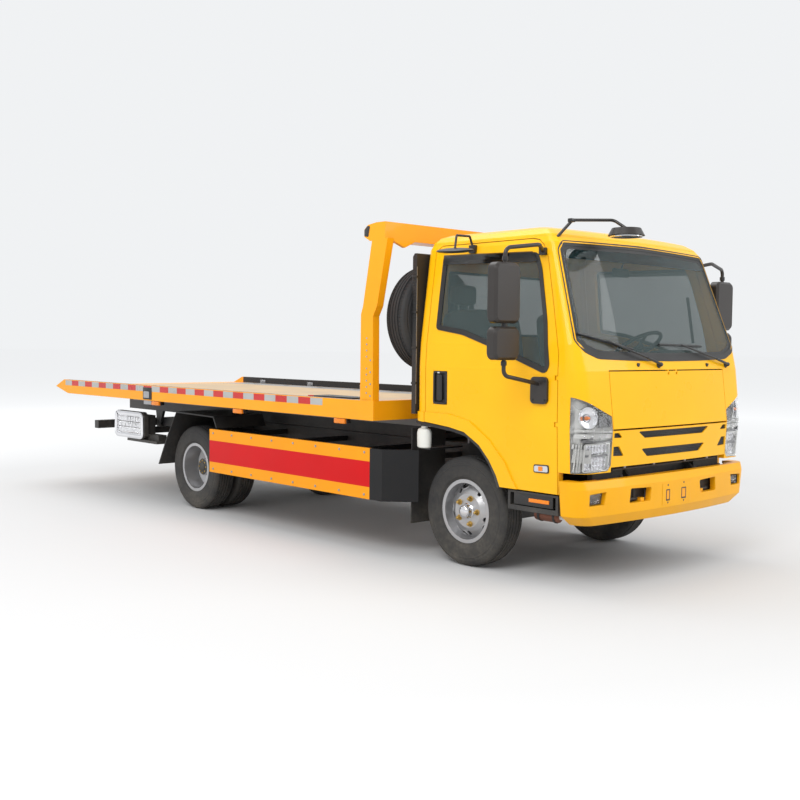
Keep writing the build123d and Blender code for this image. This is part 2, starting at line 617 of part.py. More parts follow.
# ---------------------------------------------------------------- behind the cab: intake and spare wheel
DUCT_FRONT = -392.0
DUCT_REAR = -432.0
STAND_FRONT = -397.0  # the spare wheel's stand
STAND_REAR = -437.0
STAND_LOW = 1120.0
SPARE_X = -545.0
SPARE_Y = -652.0
SPARE_Z = 1722.0
with BuildPart() as air_intake:
    slab(fa(DUCT_REAR), fa(DUCT_FRONT), -955, -800, 1100, 2090)
    hood = [(fa(DUCT_REAR), 2090), (fa(DUCT_REAR), 2150), (fa(DUCT_REAR + 18), 2172), (fa(DUCT_FRONT), 2172)]
    hood += [(fa(DUCT_FRONT), 2090)]
    add(side_prism(hood, -955, -800))
    slab(fa(DUCT_REAR), fa(DUCT_FRONT), -955, -600, 1040, 1100)
    slab(fa(DUCT_REAR), fa(DUCT_FRONT), -660, -625, 1100, STAND_LOW)
save(air_intake.part, "air_intake")


def turned(piece):
    """A wheel made around Y, turned so that it lies across the vehicle's length."""
    return Pos(fa(SPARE_X), SPARE_Y, SPARE_Z) * Rot(0, 0, 90) * piece


with BuildPart() as spare_tyre:
    add(turned(tyre_at(0, 0, 0)))
save(spare_tyre.part, "spare_tyre")

with BuildPart() as spare_carrier:
    add(turned(rim_at(0, 1, 0, 0, FRONT_DISC)))
    rod_x(SPARE_Y, SPARE_Z, 20, fa(-660), fa(STAND_FRONT - 5))
    rod_x(SPARE_Y, SPARE_Z, 70, fa(-618), fa(-600))
    slab(fa(STAND_REAR), fa(STAND_FRONT), SPARE_Y - 80, SPARE_Y + 80, SPARE_Z - 60, SPARE_Z + 60)
    slab(fa(STAND_REAR), fa(STAND_FRONT), SPARE_Y - 30, SPARE_Y + 30, STAND_LOW + 40, SPARE_Z)
    slab(fa(STAND_REAR), fa(STAND_FRONT), SPARE_Y - 30, RAIL_OUT - 10, STAND_LOW, STAND_LOW + 50)
    for side in (-1, 1):
        slab(fa(STAND_REAR), fa(STAND_FRONT), side * (RAIL_OUT - 60), side * (RAIL_OUT - 10), RAIL_TOP, STAND_LOW + 30)
save(spare_carrier.part, "spare_carrier")

# ---------------------------------------------------------------- rear lamps
with BuildPart() as rear_lamps:
    for name, side in SIDES:
        slab(fa(-4235), fa(-4175), side * RAIL_OUT, side * 960, 640, 700)
        slab(fa(-4620), fa(-4110), side * 905, side * 1000, 615, 820)
        bezel = [(fa(-4660), 620), (fa(-4650), 820), (fa(-4615), 850), (fa(-4130), 850)]
        bezel += [(fa(-4085), 820), (fa(-4080), 620), (fa(-4120), 588), (fa(-4610), 588)]
        add(side_prism(bezel, side * 995, side * 1040))
        slab(fa(-4410), fa(-3840), side * 900, side * 1045, 562, 586)
        slab(fa(-4110), fa(-3900), side * 905, side * 990, 586, 640)
save(rear_lamps.part, "rear_lamps")

# ---------------------------------------------------------------- cab
def cab_form(inset):
    """The cab's outer form, or the same form drawn in by a wall."""
    with BuildPart(mode=Mode.PRIVATE) as form:
        for height, nose, corner, half, rear, corner_r in CAB_SECTIONS:
            level = height - inset if height > ROOF_LINE else height
            side_y = half - inset
            with BuildSketch(Plane.XY.offset(level)) as outline:
                with BuildLine():
                    ThreePointArc((fa(corner - inset), -side_y), (fa(nose - inset), 0), (fa(corner - inset), side_y))
                    Polyline(
                        (fa(corner - inset), side_y), (fa(rear + inset), side_y),
                        (fa(rear + inset), -side_y), (fa(corner - inset), -side_y),
                    )
                make_face()
                fillet(outline.vertices().group_by(Axis.X)[-1], max(corner_r - inset, 16))
                fillet(outline.vertices().group_by(Axis.X)[0], max(REAR_CORNER_R - inset, 12))
        loft(ruled=True)
    return form.part


OUTSIDE = cab_form(0)
INSIDE = cab_form(WALL)
SHELL = OUTSIDE - INSIDE
ROOM = cab_form(WALL + SEAT)
DOOR_ROOM = cab_form(WALL + DOOR_CLEAR)
ARCH_SHELL = cab_form(-FLARE) - INSIDE
PANE = cab_form(GLASS_IN) - cab_form(GLASS_IN + GLASS_T)

ARCH_LIP = (
    # the wheel arch's edge, from the front axle
    (-46, 969), (96, 944), (233, 866), (321, 773), (382, 679), (414, SILL_Z),
)
ARCH_RIDGE = (
    # the outer edge of the lip's flare, from its front end backwards
    (560, SILL_Z), (513, 673), (454, 772), (323, 906), (143, 1021), (-46, 1058), (CAB_REAR, 1061),
)
DOOR_TOP = 2216.0
DOOR = [
    (fa(885), SILL_Z), (fa(883), 1480), (fa(864), 1567), (fa(800), 1817), (fa(726), 2084), (fa(680), 2170),
    (fa(638), 2204), (fa(580), DOOR_TOP), (fa(SHUT + 45), DOOR_TOP), (fa(SHUT), DOOR_TOP - 45), (fa(SHUT), 992),
]
DOOR += [(fa(x), z) for x, z in ARCH_LIP]
FLARE_BAND = [(fa(CAB_REAR), 997)] + [(fa(x), z) for x, z in ARCH_LIP + ARCH_RIDGE]
DOOR_WINDOW = [
    (fa(-195), 1640), (fa(52), 1605), (fa(281), 1537), (fa(531), 1450), (fa(772), 1368), (fa(806), 1408),
    (fa(762), 1692), (fa(680), 2012), (fa(634), 2114), (fa(-195), 2130),
]
SCREEN = [
    (-905, 1562), (-855, 1506), (-735, 1464), (-400, 1454), (0, 1450), (400, 1454), (735, 1464), (855, 1506),
    (905, 1562), (832, 2140), (790, 2186), (0, 2200), (-790, 2186), (-832, 2140),
]
REAR_WINDOW = [(-690, 1600), (690, 1600), (690, 2060), (-690, 2060)]
WINDOW_R = 32.0
GRILLE_SLOTS = (
    # place across and height of each slot's four corners
    ((-418, 990), (418, 990), (345, 946), (-345, 946)),
    ((-375, 877), (375, 877), (308, 825), (-308, 825)),
    ((614, 990), (660, 990), (660, 960), (574, 958)),
    ((606, 905), (660, 905), (660, 846), (552, 842)),
    ((-614, 990), (-660, 990), (-660, 960), (-574, 958)),
    ((-606, 905), (-660, 905), (-660, 846), (-552, 842)),
)
LAMP = [(676, 1094), (676, 788), (704, 755), (1000, 744), (1000, 1232), (945, 1214)]


def screen_prism(grow):
    return front_prism(SCREEN, fa(500), fa(1200), 20, grow)


def door_prism(side, outline, corner, grow):
    return side_prism(outline, side * 600, side * 1100, corner, grow)


def door_room(side):
    """The room that a door's inner edge sweeps, to be left free beside it."""
    return door_prism(side, DOOR, 0, GAP) - DOOR_ROOM


def arch_flare(side):
    """The flared band around a front wheel arch."""
    return ARCH_SHELL & door_prism(side, FLARE_BAND, 0, 0)


def lamp_prism(side, grow):
    outline = [(side * y, z) for y, z in LAMP]
    return front_prism(outline, fa(LAMP_REAR - grow), fa(1200), 12, grow)


with BuildPart() as cab_roof:
    add(SHELL)
    slab(fa(-600), fa(1300), -1100, 1100, 500, ROOF_SEAM, Mode.SUBTRACT)
save(cab_roof.part, "cab_roof")

with BuildPart() as cab_back:
    add(SHELL)
    slab(fa(-600), fa(SHUT - GAP), -1100, 1100, BACK_LOW, ROOF_SEAM - SEAT, Mode.INTERSECT)
    for name, side in SIDES:
        add(arch_flare(side) - door_prism(side, DOOR, 0, GAP))
    add(front_prism(REAR_WINDOW, fa(-600), fa(-200), WINDOW_R), mode=Mode.SUBTRACT)
    inner = HUMP_HALF - HUMP_T
    slab(fa(-600), fa(-200), -inner, inner, 900, HUMP_TOP - HUMP_T, Mode.SUBTRACT)
save(cab_back.part, "cab_back")

with BuildPart() as cab_front:
    add(SHELL)
    slab(fa(SHUT - GAP + SEAT), fa(1300), -1100, 1100, SILL_Z, ROOF_SEAM - SEAT, Mode.INTERSECT)
    slab(fa(800), fa(1300), -PANEL_HALF - GAP, PANEL_HALF + GAP, 500, LID_EDGE, Mode.SUBTRACT)
    for name, side in SIDES:
        slab(fa(LID_PIN_X - 15), fa(LID_PIN_X + 4), side * 40, side * 55, LID_PIN_Z - 6, LID_EDGE + 4)
    rod_y(fa(LID_PIN_X), LID_PIN_Z, LID_PIN_R, -50, 50)
    slab(fa(895), fa(1300), -1100, 1100, 500, CAB_LOW, Mode.SUBTRACT)
    add(screen_prism(0), mode=Mode.SUBTRACT)
    for name, side in SIDES:
        add(door_prism(side, DOOR, 0, GAP), mode=Mode.SUBTRACT)
        add(lamp_prism(side, SEAT), mode=Mode.SUBTRACT)
        slab(fa(-300), fa(470), side * 600, side * 1100, 500, 1010, Mode.SUBTRACT)
        for low in HINGE_HEIGHTS:
            y0, y1 = side * (HINGE_Y - KNUCKLE_R), side * (HINGE_Y + KNUCKLE_R)
            slab(fa(HINGE_X), fa(HINGE_X + 25), y0, y1, low, low + KNUCKLE_H)
            rod_z(fa(HINGE_X), side * HINGE_Y, KNUCKLE_R, low, low + KNUCKLE_H)
            rod_z(fa(HINGE_X), side * HINGE_Y, DOOR_PIN_R, low - DOOR_PIN_REACH, low + KNUCKLE_H + DOOR_PIN_REACH)
save(cab_front.part, "cab_front")

with BuildPart() as grille:
    add(SHELL)
    slab(fa(800), fa(1300), -GRILLE_HALF, GRILLE_HALF, GRILLE_LOW, LID_LOW - LID_GAP, Mode.INTERSECT)
    for slot in GRILLE_SLOTS:
        add(front_prism(slot, fa(800), fa(1300), 5), mode=Mode.SUBTRACT)
save(grille.part, "grille")

with BuildPart() as headlamps:
    for name, side in SIDES:
        add((cab_form(2) - cab_form(LAMP_DEPTH)) & lamp_prism(side, 0))
save(headlamps.part, "headlamps")

with BuildPart() as front_lid:
    add(OUTSIDE - cab_form(LID_WALL))
    slab(fa(800), fa(1300), -PANEL_HALF, PANEL_HALF, LID_LOW, LID_TOP, Mode.INTERSECT)
    for name, side in SIDES:
        slab(fa(1000), fa(1200), side * 38, side * 57, LID_PIN_Z - 18, LID_TOP, Mode.SUBTRACT)
    rod_y(fa(LID_PIN_X), LID_PIN_Z, LID_PIN_R + RUN, -60, 60, Mode.SUBTRACT)
save(front_lid.part, "front_lid")

with BuildPart() as cab_glass:
    add(PANE & screen_prism(-SEAT))
    for name, side in SIDES:
        add(door_prism(side, DOOR, 0, GAP), mode=Mode.SUBTRACT)
    add(PANE & front_prism(REAR_WINDOW, fa(-600), fa(-200), WINDOW_R, -SEAT))
save(cab_glass.part, "cab_glass")

FLOOR_LINE = (
    # underside of the floor, from the rear wall forward, then up the bulkhead
    (-400, 1000), (-80, 1000), (140, 940), (300, 840), (400, 720), (470, FLOOR_LOW), (1000, FLOOR_LOW), (1000, 1370),
)
BULKHEAD_X = 960.0
CAB_LUG = (
    # the cab's pivot lug, from the front axle: it leans back, to clear the bumper as the cab tilts
    (TILT_X - 90, TILT_Z - 30), (TILT_X, TILT_Z - 30), (TILT_X - 10, TILT_Z + 30),
    (TILT_X - 60, 760), (TILT_X - 90, 760),
)
with BuildPart() as cab_floor:
    low = [(fa(x), z) for x, z in FLOOR_LINE]
    high = [(fa(-400), 1040), (fa(-70), 1040), (fa(165), 974), (fa(330), 868), (fa(428), 750)]
    high += [(fa(490), FLOOR_LOW + FLOOR_T), (fa(BULKHEAD_X), FLOOR_LOW + FLOOR_T), (fa(BULKHEAD_X), 1370)]
    add(side_prism(low + high[::-1], -1000, 1000))
    slab(fa(-400), fa(BULKHEAD_X + 20), -HUMP_HALF, HUMP_HALF, 500, HUMP_TOP)
    slab(fa(-401), fa(BULKHEAD_X + 60), -HUMP_HALF + HUMP_T, HUMP_HALF - HUMP_T, 500, 830, Mode.SUBTRACT)
    slab(fa(-401), fa(BULKHEAD_X), -HUMP_HALF + HUMP_T, HUMP_HALF - HUMP_T, 500, HUMP_TOP - HUMP_T, Mode.SUBTRACT)
    slab(fa(-400), fa(1100), -HUMP_HALF - 1, HUMP_HALF + 1, 500, FLOOR_LOW, Mode.SUBTRACT)
    add(ROOM, mode=Mode.INTERSECT)
    for name, side in SIDES:
        add(door_room(side), mode=Mode.SUBTRACT)
        slab(fa(930), fa(1100), side * 740, side * 1000, 500, CAB_LOW + 15, Mode.SUBTRACT)
        add(side_prism([(fa(x), z) for x, z in CAB_LUG], side * (HUMP_HALF - HUMP_T), side * HUMP_HALF))
        rod_y(fa(TILT_X), TILT_Z, 32, side * (HUMP_HALF - HUMP_T), side * HUMP_HALF)
        rod_y(fa(TILT_X), TILT_Z, TILT_PIN_R + RUN, side * 300, side * 500, Mode.SUBTRACT)
save(cab_floor.part, "cab_floor")

COLUMN_R = 24.0
WHEEL_X = 475.0
DRIVER_Y = 470.0
tip = Plane((fa(WHEEL_X), DRIVER_Y, 1530), z_dir=(-0.55, 0, 0.83))
with BuildPart() as dashboard:
    outline = [(fa(640), 1210), (fa(BULKHEAD_X), 1180), (fa(1030), 1376), (fa(1030), 1410), (fa(860), 1440)]
    outline += [(fa(700), 1420), (fa(620), 1350)]
    add(side_prism(outline, -1000, 1000, 12))
    slab(fa(BULKHEAD_X - 1), fa(1100), -1000, 1000, 1100, 1371, Mode.SUBTRACT)
    add(ROOM, mode=Mode.INTERSECT)
    for name, side in SIDES:
        add(door_room(side), mode=Mode.SUBTRACT)
    with BuildSketch(tip.offset(-200)):
        Circle(COLUMN_R + SEAT)
    extrude(amount=-120, mode=Mode.SUBTRACT)
save(dashboard.part, "dashboard")

with BuildPart() as steering_wheel:
    with BuildSketch(Plane(tip.origin, x_dir=tip.x_dir, z_dir=tip.y_dir)) as grip:
        with Locations((190, 0)):
            Circle(14)
    revolve(axis=Axis(tip.origin, tip.z_dir))
    with BuildSketch(tip.offset(-30)):
        Circle(48)
    extrude(amount=25)
    with BuildSketch(tip.offset(-12)):
        for turn in (90, 210, 330):
            with Locations(Pos(0, 0) * Rot(0, 0, turn) * Pos(110, 0)):
                Rectangle(168, 30)
    extrude(amount=8)
    with BuildSketch(tip.offset(-30)):
        Circle(COLUMN_R)
    extrude(amount=-270)
save(steering_wheel.part, "steering_wheel")

SEATS = (
    # middle across, width
    (DRIVER_Y, 500.0), (-400.0, 840.0),
)
SEAT_Z = 1165.0
with BuildPart() as seats:
    for middle, width in SEATS:
        side_view = [(fa(-190), SEAT_Z), (fa(255), SEAT_Z), (fa(270), 1270), (fa(255), 1305), (fa(-130), 1290)]
        side_view += [(fa(-215), 1790), (fa(-240), 1805), (fa(-318), 1795), (fa(-318), 1740), (fa(-230), 1170)]
        add(side_prism(side_view, middle - width / 2, middle + width / 2))
    for name, side in SIDES:
        slab(fa(-200), fa(200), side * (HUMP_HALF + SEAT), side * 660, 1040 + SEAT, SEAT_Z)
    for middle in (DRIVER_Y, -400.0 - 200, -400.0 + 200):
        slab(fa(-318), fa(-240), middle - 120, middle + 120, 1800, 1960)
save(seats.part, "seats")

# ---------------------------------------------------------------- doors, glass, mirrors
MIRROR_ARM_R = 13.0
MIRROR_X = 700.0
MIRROR_Y = 1251.0
MIRROR_R = 48.0
MIRROR_W = 234.0
MIRROR_D = 70.0
MIRRORS = (
    # low, top
    (1665, 2035), (1440, 1645),
)


def mirror_head(y, low, top):
    """A mirror's rounded housing, its glass facing backwards."""
    with BuildPart(mode=Mode.PRIVATE) as head:
        with Locations((fa(MIRROR_X), y, (low + top) / 2)):
            Box(MIRROR_D, MIRROR_W, top - low)
        fillet(head.edges().filter_by(Axis.X), MIRROR_R)
        chamfer(head.faces().sort_by(Axis.X)[-1].edges(), 16)
    return head.part


for name, side in SIDES:
    with BuildPart() as door:
        add(SHELL & door_prism(side, DOOR, 0, 0))
        add(arch_flare(side) & door_prism(side, DOOR, 0, 0))
        add(door_prism(side, DOOR_WINDOW, 24, 0), mode=Mode.SUBTRACT)
        slab(fa(-212), fa(-76), side * 935, side * 1000, 1120, 1350, Mode.SUBTRACT)
        for low in HINGE_HEIGHTS:
            z0, z1 = low - NOTCH_GAP, low + KNUCKLE_H + NOTCH_GAP
            slab(fa(HINGE_X - NOTCH), fa(900), side * (HINGE_Y - NOTCH), side * 1000, z0, z1, Mode.SUBTRACT)
            z0, z1 = low - DOOR_PIN_REACH - 2, low + KNUCKLE_H + DOOR_PIN_REACH + 2
            rod_z(fa(HINGE_X), side * HINGE_Y, DOOR_PIN_R + RUN, z0, z1, Mode.SUBTRACT)
    save(door.part, f"door_{name}")

    with BuildPart() as door_glass:
        add(PANE & door_prism(side, DOOR_WINDOW, 24, -SEAT))
    save(door_glass.part, f"door_glass_{name}")

    with BuildPart() as mirror:
        route = [(690, 884, 2128), (756, 1000, 2158), (MIRROR_X, MIRROR_Y, 2125), (MIRROR_X, MIRROR_Y, 1345)]
        route += [(745, 962, 1290)]
        add(tube([(fa(x), side * y, z) for x, y, z in route], 45, MIRROR_ARM_R))
        for low, top in MIRRORS:
            add(mirror_head(side * MIRROR_Y, low, top))
        foot = [(fa(680), 1166), (fa(815), 1166), (fa(815), 1336), (fa(680), 1336)]
        add(side_prism(foot, side * 957.5, side * 975, 30))
        slab(fa(665), fa(715), side * 874, side * 896, 2104, 2150)
    save(mirror.part, f"mirror_{name}")

with BuildPart() as front_mirror:
    spots = [(718, -828, 2185), (790, -720, 2330), (905, -440, 2345), (985, -420, 2290)]
    add(tube([(fa(x), y, z) for x, y, z in spots], 40, 10))
    with BuildSketch(Plane.XY.offset(2240)):
        with Locations((fa(990), -420)):
            Circle(118)
    extrude(amount=48, taper=28)
    add(cab_form(-SEAT), mode=Mode.SUBTRACT)
save(front_mirror.part, "front_mirror")

# ---------------------------------------------------------------- deck
with BuildPart() as bed_floor:
    slab(TAIL + TAIL_LOW_RUN, DECK_FRONT - 60, -DECK_HALF + EDGE_W, DECK_HALF - EDGE_W, DECK_TOP - DECK_T, DECK_TOP)
    count = int((DECK_FRONT - TAIL - TAIL_LOW_RUN - 200) // BEAM_PITCH)
    for n in range(count + 1):
        x = DECK_FRONT - 140 - n * BEAM_PITCH
        slab(x - BEAM_W / 2, x + BEAM_W / 2, -DECK_HALF + EDGE_W, DECK_HALF - EDGE_W, DECK_LOW, DECK_TOP - DECK_T)
    for name, side in SIDES:
        slab(TAIL + 400, DECK_FRONT - 80, side * RUNNER_IN, side * (RUNNER_IN + RUNNER_W), RUNNER_LOW, DECK_TOP - DECK_T)
    slab(fa(SLIDE_END - 60), fa(SLIDE_END), -50, 50, SLIDE_Z - SLIDE_ROD_R - 8, DECK_TOP - DECK_T)
save(bed_floor.part, "bed_floor")

with BuildPart() as bed_rails:
    edge = [(TAIL, TAIL_Z), (TAIL + TAIL_TOP_RUN, EDGE_TOP), (DECK_FRONT, EDGE_TOP), (DECK_FRONT, DECK_LOW)]
    edge += [(TAIL + TAIL_LOW_RUN, DECK_LOW)]
    for name, side in SIDES:
        add(side_prism(edge, side * (DECK_HALF - EDGE_W), side * DECK_HALF))
    slab(DECK_FRONT - 60, DECK_FRONT, -DECK_HALF, DECK_HALF, DECK_LOW, EDGE_TOP)
    lip = [(TAIL, TAIL_Z), (TAIL + 30, DECK_TOP), (TAIL + TAIL_LOW_RUN, DECK_TOP), (TAIL + TAIL_LOW_RUN, DECK_LOW)]
    add(side_prism(lip, -DECK_HALF, DECK_HALF))
save(bed_rails.part, "bed_rails")

with BuildPart() as headboard:
    for name, side in SIDES:
        post = [(fa(x), z) for x, z in POST_LINE]
        add(side_prism(post, side * (DECK_HALF - POST_T), side * DECK_HALF))
    mid = (BEAM_LOW + BEAM_TOP) / 2
    beam = [(fa(BEAM_REAR), mid - 30), (fa(BEAM_REAR), mid + 20)]
    beam += [(fa(BEAM_REAR + 40), BEAM_TOP - 12), (fa(BEAM_REAR + 130), BEAM_TOP)]
    beam += [(fa(BEAM_FRONT), BEAM_TOP), (fa(BEAM_FRONT), BEAM_LOW), (fa(BEAM_REAR + 60), BEAM_LOW)]
    add(side_prism(beam, -DECK_HALF, DECK_HALF))
    for name, side in SIDES:
        gusset = [(side * 1090, BEAM_LOW + 2), (side * 960, BEAM_LOW - 45), (side * 860, BEAM_LOW + 2)]
        add(front_prism(gusset, fa(BEAM_FRONT - 30), fa(BEAM_FRONT)))
save(headboard.part, "headboard")

with BuildPart() as slide_rod:
    rod_x(0, SLIDE_Z, SLIDE_ROD_R, fa(SLIDE_END), fa(SLIDE_FRONT - 80))
save(slide_rod.part, "slide_rod")

# ---------------------------------------------------------------- tilting frame and its cylinders
TILT_CROSS = (-820, -1640, -2460, -3120, -4330, -5500)
with BuildPart() as tilt_frame:
    for name, side in SIDES:
        slab(TILT_REAR, TILT_FRONT, side * (TILT_RAIL_OUT - TILT_RAIL_W), side * TILT_RAIL_OUT, TILT_LOW, TILT_TOP)
        slab(TILT_REAR + 100, TILT_FRONT - 100, side * (TILT_RAIL_OUT - 50), side * (TILT_RAIL_OUT - 10), TILT_TOP, DECK_LOW - SEAT)
        for x in (-1700, -2900, -4100):
            slab(fa(x - 60), fa(x + 60), side * (TILT_RAIL_OUT - 50), side * (RAIL_OUT - 15), RAIL_TOP + SEAT, TILT_LOW)
        lug = [(fa(HINGE_BACK + 90), TILT_LOW), (fa(HINGE_BACK - 55), TILT_LOW)]
        lug += [(fa(HINGE_BACK - 30), HINGE_Z), (fa(HINGE_BACK + 30), HINGE_Z)]
        add(side_prism(lug, side * 372, side * 402))
        rod_y(fa(HINGE_BACK), HINGE_Z, HINGE_LUG_R - 3, side * 372, side * 402)
        rod_y(fa(HINGE_BACK), HINGE_Z, HINGE_PIN_R + RUN, side * 370, side * 410, Mode.SUBTRACT)
        rod_y(fa(RAM_TOP_X), RAM_TOP_Z, RAM_TOP_R, side * (RAM_Y - 30), side * (TILT_RAIL_OUT - 10))
    for x in TILT_CROSS:
        slab(fa(x - 40), fa(x + 40), -TILT_RAIL_OUT + 20, TILT_RAIL_OUT - 20, TILT_LOW, TILT_LOW + 40)
    rod_x(0, SLIDE_Z, SLIDE_R, fa(SLIDE_REAR), fa(SLIDE_FRONT))
    for x in (SLIDE_FRONT - 640, SLIDE_REAR - 30 + 60):
        slab(fa(x - 30), fa(x + 30), -30, 30, TILT_LOW + 30, SLIDE_Z - 20)
    rod_x(0, SLIDE_Z, SLIDE_ROD_R + RUN, fa(SLIDE_REAR - 100), fa(SLIDE_FRONT - 40), Mode.SUBTRACT)
save(tilt_frame.part, "tilt_frame")

RAM_RISE = RAM_TOP_Z - RAM_BASE_Z
RAM_RUN = RAM_TOP_X - RAM_BASE_X
RAM_LENGTH = (RAM_RISE ** 2 + RAM_RUN ** 2) ** 0.5
RAM_BODY = 640.0


def ram_plane(side, along):
    """A plane across a tilt cylinder, some way up from its base pin."""
    x = RAM_BASE_X + RAM_RUN * along / RAM_LENGTH
    z = RAM_BASE_Z + RAM_RISE * along / RAM_LENGTH
    return Plane((fa(x), side * RAM_Y, z), z_dir=(RAM_RUN, 0, RAM_RISE))


with BuildPart() as tilt_barrels:
    for name, side in SIDES:
        with BuildSketch(ram_plane(side, 0)):
            Circle(RAM_R)
        extrude(amount=RAM_BODY)
        with BuildSketch(ram_plane(side, 80)):
            Circle(RAM_ROD_R + RUN)
        extrude(amount=RAM_LENGTH, mode=Mode.SUBTRACT)
        rod_y(fa(RAM_BASE_X), RAM_BASE_Z, 36, side * (RAM_Y - 30), side * (RAM_Y + 30))
        rod_y(fa(RAM_BASE_X), RAM_BASE_Z, RAM_BASE_R + RUN, side * (RAM_Y - 60), side * (RAM_Y + 60), Mode.SUBTRACT)
save(tilt_barrels.part, "tilt_barrels")

with BuildPart() as tilt_rods:
    for name, side in SIDES:
        with BuildSketch(ram_plane(side, 100)):
            Circle(RAM_ROD_R)
        extrude(amount=RAM_LENGTH - 100)
        rod_y(fa(RAM_TOP_X), RAM_TOP_Z, RAM_TOP_R + RAM_DRIFT + 14, side * (RAM_Y - 22), side * (RAM_Y + 22))
        rod_y(fa(RAM_TOP_X), RAM_TOP_Z, RAM_TOP_R + RAM_DRIFT, side * (RAM_Y - 40), side * (RAM_Y + 60), Mode.SUBTRACT)
save(tilt_rods.part, "tilt_rods")

# ---------------------------------------------------------------- underlift
with BuildPart() as lift_arm:
    low, high = LIFT_Z - LIFT_H / 2, LIFT_Z + LIFT_H / 2
    slab(fa(LIFT_END), fa(LIFT_X), -LIFT_HALF, LIFT_HALF, low, high)
    rod_y(fa(LIFT_X), LIFT_Z, LIFT_H / 2 - 8, -LIFT_HALF, LIFT_HALF)
    inner = LIFT_HALF - LIFT_WALL
    slab(fa(LIFT_END - 10), fa(LIFT_X - 60), -inner, inner, low + LIFT_WALL, high - LIFT_WALL, Mode.SUBTRACT)
    rod_y(fa(LIFT_X), LIFT_Z, LIFT_PIN_R + RUN, -200, 200, Mode.SUBTRACT)
save(lift_arm.part, "lift_arm")

with BuildPart() as lift_boom:
    half = inner - BOOM_CLEAR
    slab(fa(CROSSBAR_X), fa(LIFT_X - 70), -half, half, low + LIFT_WALL + BOOM_CLEAR, high - LIFT_WALL - BOOM_CLEAR)
    x0, x1 = fa(CROSSBAR_X - CROSSBAR_W / 2), fa(CROSSBAR_X + CROSSBAR_W / 2)
    slab(x0, x1, -CROSSBAR_HALF, CROSSBAR_HALF, LIFT_Z - CROSSBAR_W / 2, LIFT_Z + CROSSBAR_W / 2)
    for name, side in SIDES:
        rod_z(fa(CROSSBAR_X), side * (CROSSBAR_HALF - 60), SOCKET_R, LIFT_Z - 100, LIFT_Z + 100, Mode.SUBTRACT)
save(lift_boom.part, "lift_boom")
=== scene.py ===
"""Flatbed tow truck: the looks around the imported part. Metres, in the part's own frame.

+X is forward, +Y is the vehicle's left and +Z is up. AX is the front axle's place along X.
"""
import math

import bmesh
import bpy
from mathutils import Matrix, Vector
from mathutils.bvhtree import BVHTree


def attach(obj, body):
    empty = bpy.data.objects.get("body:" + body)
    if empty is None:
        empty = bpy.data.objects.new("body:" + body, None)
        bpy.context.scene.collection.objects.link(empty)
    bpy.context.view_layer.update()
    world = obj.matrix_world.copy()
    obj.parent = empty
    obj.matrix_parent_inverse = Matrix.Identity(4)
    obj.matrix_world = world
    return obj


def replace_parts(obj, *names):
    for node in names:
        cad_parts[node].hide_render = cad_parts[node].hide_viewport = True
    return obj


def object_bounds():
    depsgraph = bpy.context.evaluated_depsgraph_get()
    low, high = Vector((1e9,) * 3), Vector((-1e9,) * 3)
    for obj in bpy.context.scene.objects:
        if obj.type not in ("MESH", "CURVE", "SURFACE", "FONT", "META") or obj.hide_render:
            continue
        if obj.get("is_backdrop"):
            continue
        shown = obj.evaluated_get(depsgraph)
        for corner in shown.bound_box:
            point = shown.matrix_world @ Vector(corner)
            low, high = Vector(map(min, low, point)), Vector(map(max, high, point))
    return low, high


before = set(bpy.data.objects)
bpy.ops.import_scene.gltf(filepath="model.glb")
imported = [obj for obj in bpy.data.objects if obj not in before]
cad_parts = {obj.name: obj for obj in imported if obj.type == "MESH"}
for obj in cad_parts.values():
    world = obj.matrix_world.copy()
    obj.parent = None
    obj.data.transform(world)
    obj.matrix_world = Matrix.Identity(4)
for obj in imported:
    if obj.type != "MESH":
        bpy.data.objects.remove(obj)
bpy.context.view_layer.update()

AX = 2.320
REAR_X = AX - 3.360
WHEEL_Z = 0.382
SIDES = (("left", 1), ("right", -1))


# ---------------------------------------------------------------- shader groups and materials
def socket(group, name, kind, way, value=None):
    made = group.interface.new_socket(name=name, in_out=way, socket_type=kind)
    if value is not None:
        made.default_value = value


def new_group(name, inputs, outputs):
    """A shader group with its inputs (name, kind, value) and outputs (name, kind)."""
    group = bpy.data.node_groups.new(name, "ShaderNodeTree")
    for label, kind, value in inputs:
        socket(group, label, kind, "INPUT", value)
    for label, kind in outputs:
        socket(group, label, kind, "OUTPUT")
    return group, group.nodes.new("NodeGroupInput"), group.nodes.new("NodeGroupOutput")


def node(tree, kind, values=(), **settings):
    """A shader node with its settings, and values for its sockets by name or place."""
    made = tree.nodes.new(kind)
    for key, value in settings.items():
        setattr(made, key, value)
    for key, value in dict(values).items():
        made.inputs[key].default_value = value
    return made


def noise(tree, coordinates, scale, detail=3.0, roughness=0.55):
    made = node(tree, "ShaderNodeTexNoise", {"Scale": scale, "Detail": detail, "Roughness": roughness})
    tree.links.new(coordinates, made.inputs["Vector"])
    return made.outputs["Fac"]


def ramp(tree, source, low, high, out_low=0.0, out_high=1.0):
    """A value carried from one range to another and held there."""
    made = node(tree, "ShaderNodeMapRange",
                {"From Min": low, "From Max": high, "To Min": out_low, "To Max": out_high})
    tree.links.new(source, made.inputs["Value"])
    return made.outputs["Result"]


def maths(tree, operation, first, second):
    made = node(tree, "ShaderNodeMath", operation=operation)
    for place, value in enumerate((first, second)):
        if isinstance(value, (int, float)):
            made.inputs[place].default_value = value
        else:
            tree.links.new(value, made.inputs[place])
    return made.outputs[0]


